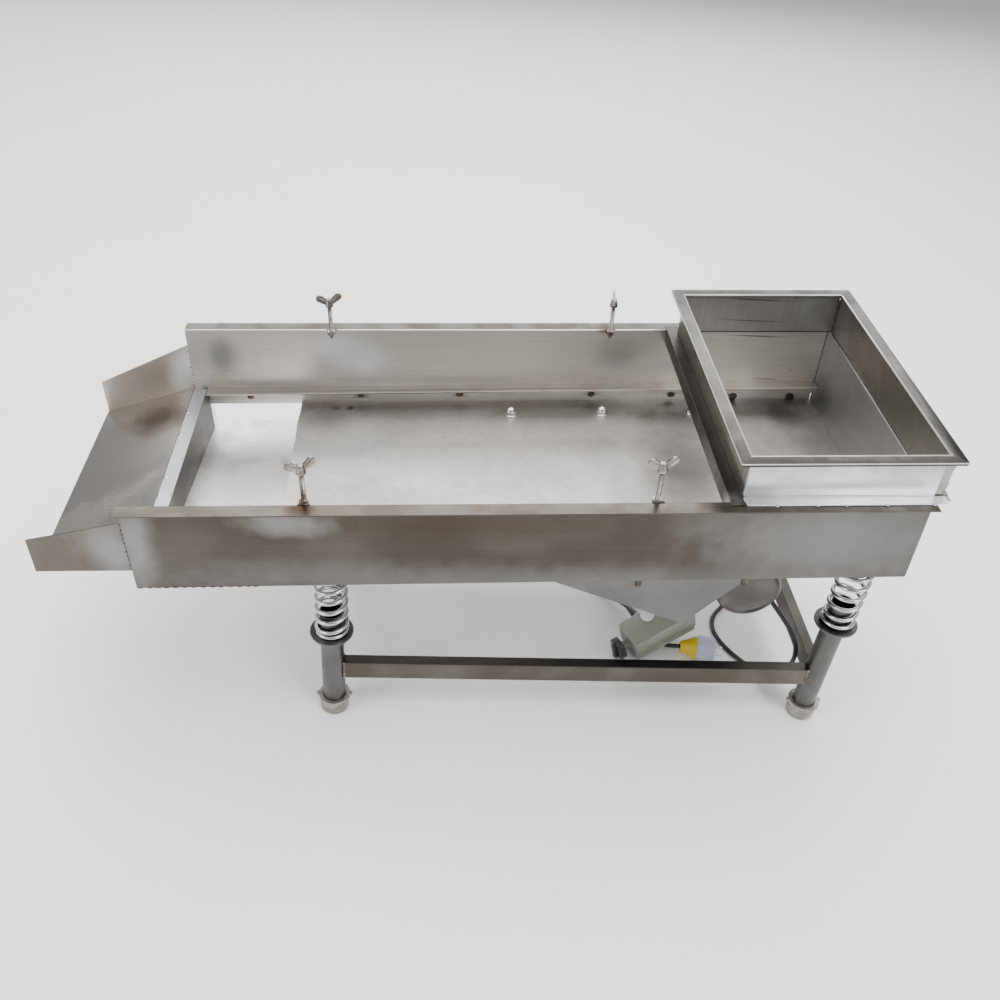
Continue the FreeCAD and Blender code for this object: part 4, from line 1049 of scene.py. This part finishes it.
def coil_spring(side, end):
    """Round wire wound with closed ends."""
    bm = bmesh.new()
    wire = 0.0037
    radius = 0.0252
    length = 0.150
    start = move(radius, 0, wire) @ turn(90, "X")
    ring = bmesh.ops.create_circle(bm, cap_ends=False, segments=14, radius=wire, matrix=start)["verts"]
    geom = ring + [e for e in bm.edges]
    closed = 0.9
    closed_rise = 0.0066
    middle = 7.5 - 2 * closed
    middle_rise = length - 2 * wire - 2 * closed_rise
    for turns, rise in ((closed, closed_rise), (middle, middle_rise), (closed, closed_rise)):
        steps = int(turns * 32)
        geom = bmesh.ops.spin(bm, geom=geom, cent=(0, 0, 0), axis=(0, 0, 1), dvec=(0, 0, rise / steps),
                              angle=2 * math.pi * turns, steps=steps, use_merge=False)["geom_last"]
    bmesh.ops.holes_fill(bm, edges=[e for e in bm.edges if e.is_boundary], sides=0)
    bmesh.ops.recalc_face_normals(bm, faces=bm.faces[:])
    x = left_leg_x if end == "left" else right_leg_x
    y = -leg_y if side == "front" else leg_y
    foot = ring_tops[end]
    twist = {"front_left": 200, "front_right": 20, "back_left": 90, "back_right": 300}[f"{side}_{end}"]
    bmesh.ops.transform(bm, matrix=move(x, y, foot) @ turn(twist, "Z"), verts=bm.verts[:])
    mesh = bpy.data.meshes.new("coil")
    bm.to_mesh(mesh)
    bm.free()
    mesh.shade_smooth()
    piece = bpy.data.objects.new(f"coil_spring_{side}_{end}", mesh)
    scene.collection.objects.link(piece)
    mesh.materials.append(spring_steel)
    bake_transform(piece)
    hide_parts(f"spring_{side}_{end}")
    return piece


for side in ("front", "back"):
    for end in ("left", "right"):
        coil_spring(side, end)
        finished(f"leg_{side}_{end}", tube_steel, 0.0006)
for side in ("front", "back", "left", "right"):
    finished(f"rail_{side}", rail_steel, 0.0014, 3)
finished("feet", foot_steel, 0.0012, 3)
foot_beads = [move(x + 0.0262 * math.cos(a), y + 0.0262 * math.sin(a), 0.0295)
              for x in (left_leg_x, right_leg_x) for y in (-leg_y, leg_y)
              for a in [math.radians(15 * i) for i in range(24)]]
welds("foot_beads", "stand", foot_beads, (0.0024, 0.0024, 0.0016), foot_steel)

# ---------------------------------------------------------------- switch box, knob and plug

finished("switch_box", hood_paint, 0.0008)


def switch_hood():
    """Folded sheet cover that sits over the switch box, open below."""
    bm = bmesh.new()
    size = (0.1342, 0.0636, 0.038)
    block(bm, size, switch @ move(0.065, 0.03, 0.0524 - size[2] / 2))
    up = switch.to_3x3() @ Vector((0, 0, 1))
    folds = [e for e in bm.edges if all(f.normal.dot(up) > -0.5 for f in e.link_faces)]
    low = [f for f in bm.faces if f.normal.dot(up) < -0.9]
    bmesh.ops.delete(bm, geom=low, context="FACES")
    folds = [e for e in bm.edges if not e.is_boundary]
    bmesh.ops.bevel(bm, geom=folds, offset=0.002, offset_type="OFFSET", segments=3, profile=0.5,
                    affect="EDGES", material=-1)
    bmesh.ops.recalc_face_normals(bm, faces=bm.faces[:])
    piece = finish_piece("switch_hood", bm, "stand", hood_paint)
    wall = piece.modifiers.new("sheet", "SOLIDIFY")
    wall.thickness = 0.0012
    wall.offset = -1
    return piece


def switch_knob():
    """Round knob with fine ribs round its edge and a grip bar across its face."""
    bm = bmesh.new()
    place = switch @ move(-0.0183, 0.03, 0.025) @ turn(-90, "Y")
    radius = 0.0215
    made = bmesh.ops.create_cone(bm, cap_ends=True, segments=96, radius1=radius, radius2=radius, depth=0.012,
                                 matrix=move(0, 0, 0.006))["verts"]
    for vert in made:
        angle = math.atan2(vert.co.y, vert.co.x)
        if round(angle / (2 * math.pi / 96)) % 4 in (0, 1):
            vert.co.x *= 0.955
            vert.co.y *= 0.955
    rims = [e for e in bm.edges if abs(e.verts[0].co.z - e.verts[1].co.z) < 1e-5 and e.verts[0].co.z > 0.01]
    bmesh.ops.bevel(bm, geom=rims, offset=0.0012, offset_type="OFFSET", segments=2, profile=0.5,
                    affect="EDGES", material=-1)
    bar = bmesh.new()
    block(bar, (0.010, 0.038, 0.009), move(0, 0, 0.0155))
    bmesh.ops.bevel(bar, geom=bar.edges[:], offset=0.0028, offset_type="OFFSET", segments=4, profile=0.5,
                    affect="EDGES", material=-1)
    add_part(bm, bar)
    bmesh.ops.transform(bm, matrix=place @ turn(90, "Z"), verts=bm.verts[:])
    bmesh.ops.recalc_face_normals(bm, faces=bm.faces[:])
    return finish_piece("switch_knob_ribbed", bm, "knob", black_plastic, ("switch_knob",), 0)


def hood_button():
    """Flat round white cap on the hood."""
    bm = bmesh.new()
    place = switch @ move(0.0538, 0.0462, 0.0522)
    lathe(bm, [(0, 0), (0.0135, 0), (0.0138, 0.0010), (0.0134, 0.0034), (0.0122, 0.0048), (0.0100, 0.0056),
               (0.0060, 0.0061), (0, 0.0062)], place, 48)
    tidy_shell(bm)
    return finish_piece("hood_button", bm, "stand", white_plastic)


switch_hood()
hood_button()
switch_knob()
for number, x in enumerate((0.045, 0.095)):
    gland(f"switch_gland_{number + 1}", switch @ move(x, 0.0602, 0.025) @ turn(-90, "X"), 0.0095, 0.007,
          0.0165, "stand", black_plastic)


def plug_piece(name, profile, node, material, steps=64):
    """Turned piece of the plug along its own X."""
    bm = bmesh.new()
    lathe(bm, profile, plug @ turn(90, "Y"), steps)
    tidy_shell(bm)
    return finish_piece(name, bm, "stand", material, (node,))


shell = plug_piece("plug_shell",
                   [(0, -0.034), (0.0232, -0.034), (0.0238, -0.0334), (0.0238, -0.0305), (0.0250, -0.030),
                    (0.0258, -0.0290), (0.0258, -0.0075), (0.0252, -0.0068), (0.0252, -0.0058), (0.0260, -0.0050),
                    (0.0260, -0.0008), (0.0252, 0.0), (0.0232, 0.0), (0.0226, -0.0008), (0.0226, -0.006),
                    (0.0218, -0.0065), (0, -0.0065)],
                   "plug_body", plug_grey)
collar = plug_piece("plug_cone",
                    [(0.0044, -0.064), (0.0100, -0.064), (0.0110, -0.0630), (0.0118, -0.0600), (0.0150, -0.0520),
                     (0.0185, -0.0440), (0.0212, -0.0380), (0.0220, -0.0350), (0.0220, -0.0338), (0, -0.0338)],
                    "plug_collar", plug_yellow)


def plug_contacts():
    """Two round pins with tapered tips."""
    bm = bmesh.new()
    for side in (-1, 1):
        pin = plug @ move(0, side * 0.0095, 0) @ turn(90, "Y")
        lathe(bm, [(0, -0.0066), (0.0024, -0.0066), (0.0024, 0.0165), (0.0019, 0.0185), (0.0010, 0.019), (0, 0.019)],
              pin, 24)
    tidy_shell(bm)
    return finish_piece("plug_contacts", bm, "stand", bright_steel, ("plug_pins",))


contacts = plug_contacts()

# ---------------------------------------------------------------- floor and light


def floor():
    bm = bmesh.new()
    bmesh.ops.create_grid(bm, x_segments=1, y_segments=1, size=14)
    mesh = bpy.data.meshes.new("floor")
    bm.to_mesh(mesh)
    bm.free()
    ground = bpy.data.objects.new("floor", mesh)
    scene.collection.objects.link(ground)
    material, tree, shader, position = new_material("studio_floor")
    faint = apply_effect(tree, cloud, Position=position, Scale=1.5)["Mask"]
    tree.links.new(mixed(tree, faint, (0.97, 0.97, 0.97, 1), (0.95, 0.95, 0.95, 1)), shader.inputs["Base Color"])
    shader.inputs["Roughness"].default_value = 0.9
    mesh.materials.append(material)


def lamp(name, place, target, size, power):
    data = bpy.data.lights.new(name, "AREA")
    data.shape = "RECTANGLE"
    data.size, data.size_y = size
    data.energy = power
    light = bpy.data.objects.new(name, data)
    light.location = place
    light.rotation_euler = (Vector(target) - Vector(place)).to_track_quat("-Z", "Y").to_euler()
    scene.collection.objects.link(light)


floor()
lamp("ceiling", (0.1, 0.2, 3.6), (0, 0, 0), (5.0, 4.0), 300)
lamp("back_panel", (0.1, 4.2, 2.9), (0, 0, 0.4), (6.0, 2.6), 210)
lamp("window", (-3.2, -1.6, 2.2), (0, 0, 0.3), (2.2, 2.2), 80)
lamp("fill", (2.6, -3.0, 2.4), (0, 0, 0.3), (2.4, 1.8), 85)
world = bpy.data.worlds.new("studio")
world.use_nodes = True
world.node_tree.nodes["Background"].inputs[0].default_value = (1, 1, 1, 1)
world.node_tree.nodes["Background"].inputs[1].default_value = 0.36
scene.world = world
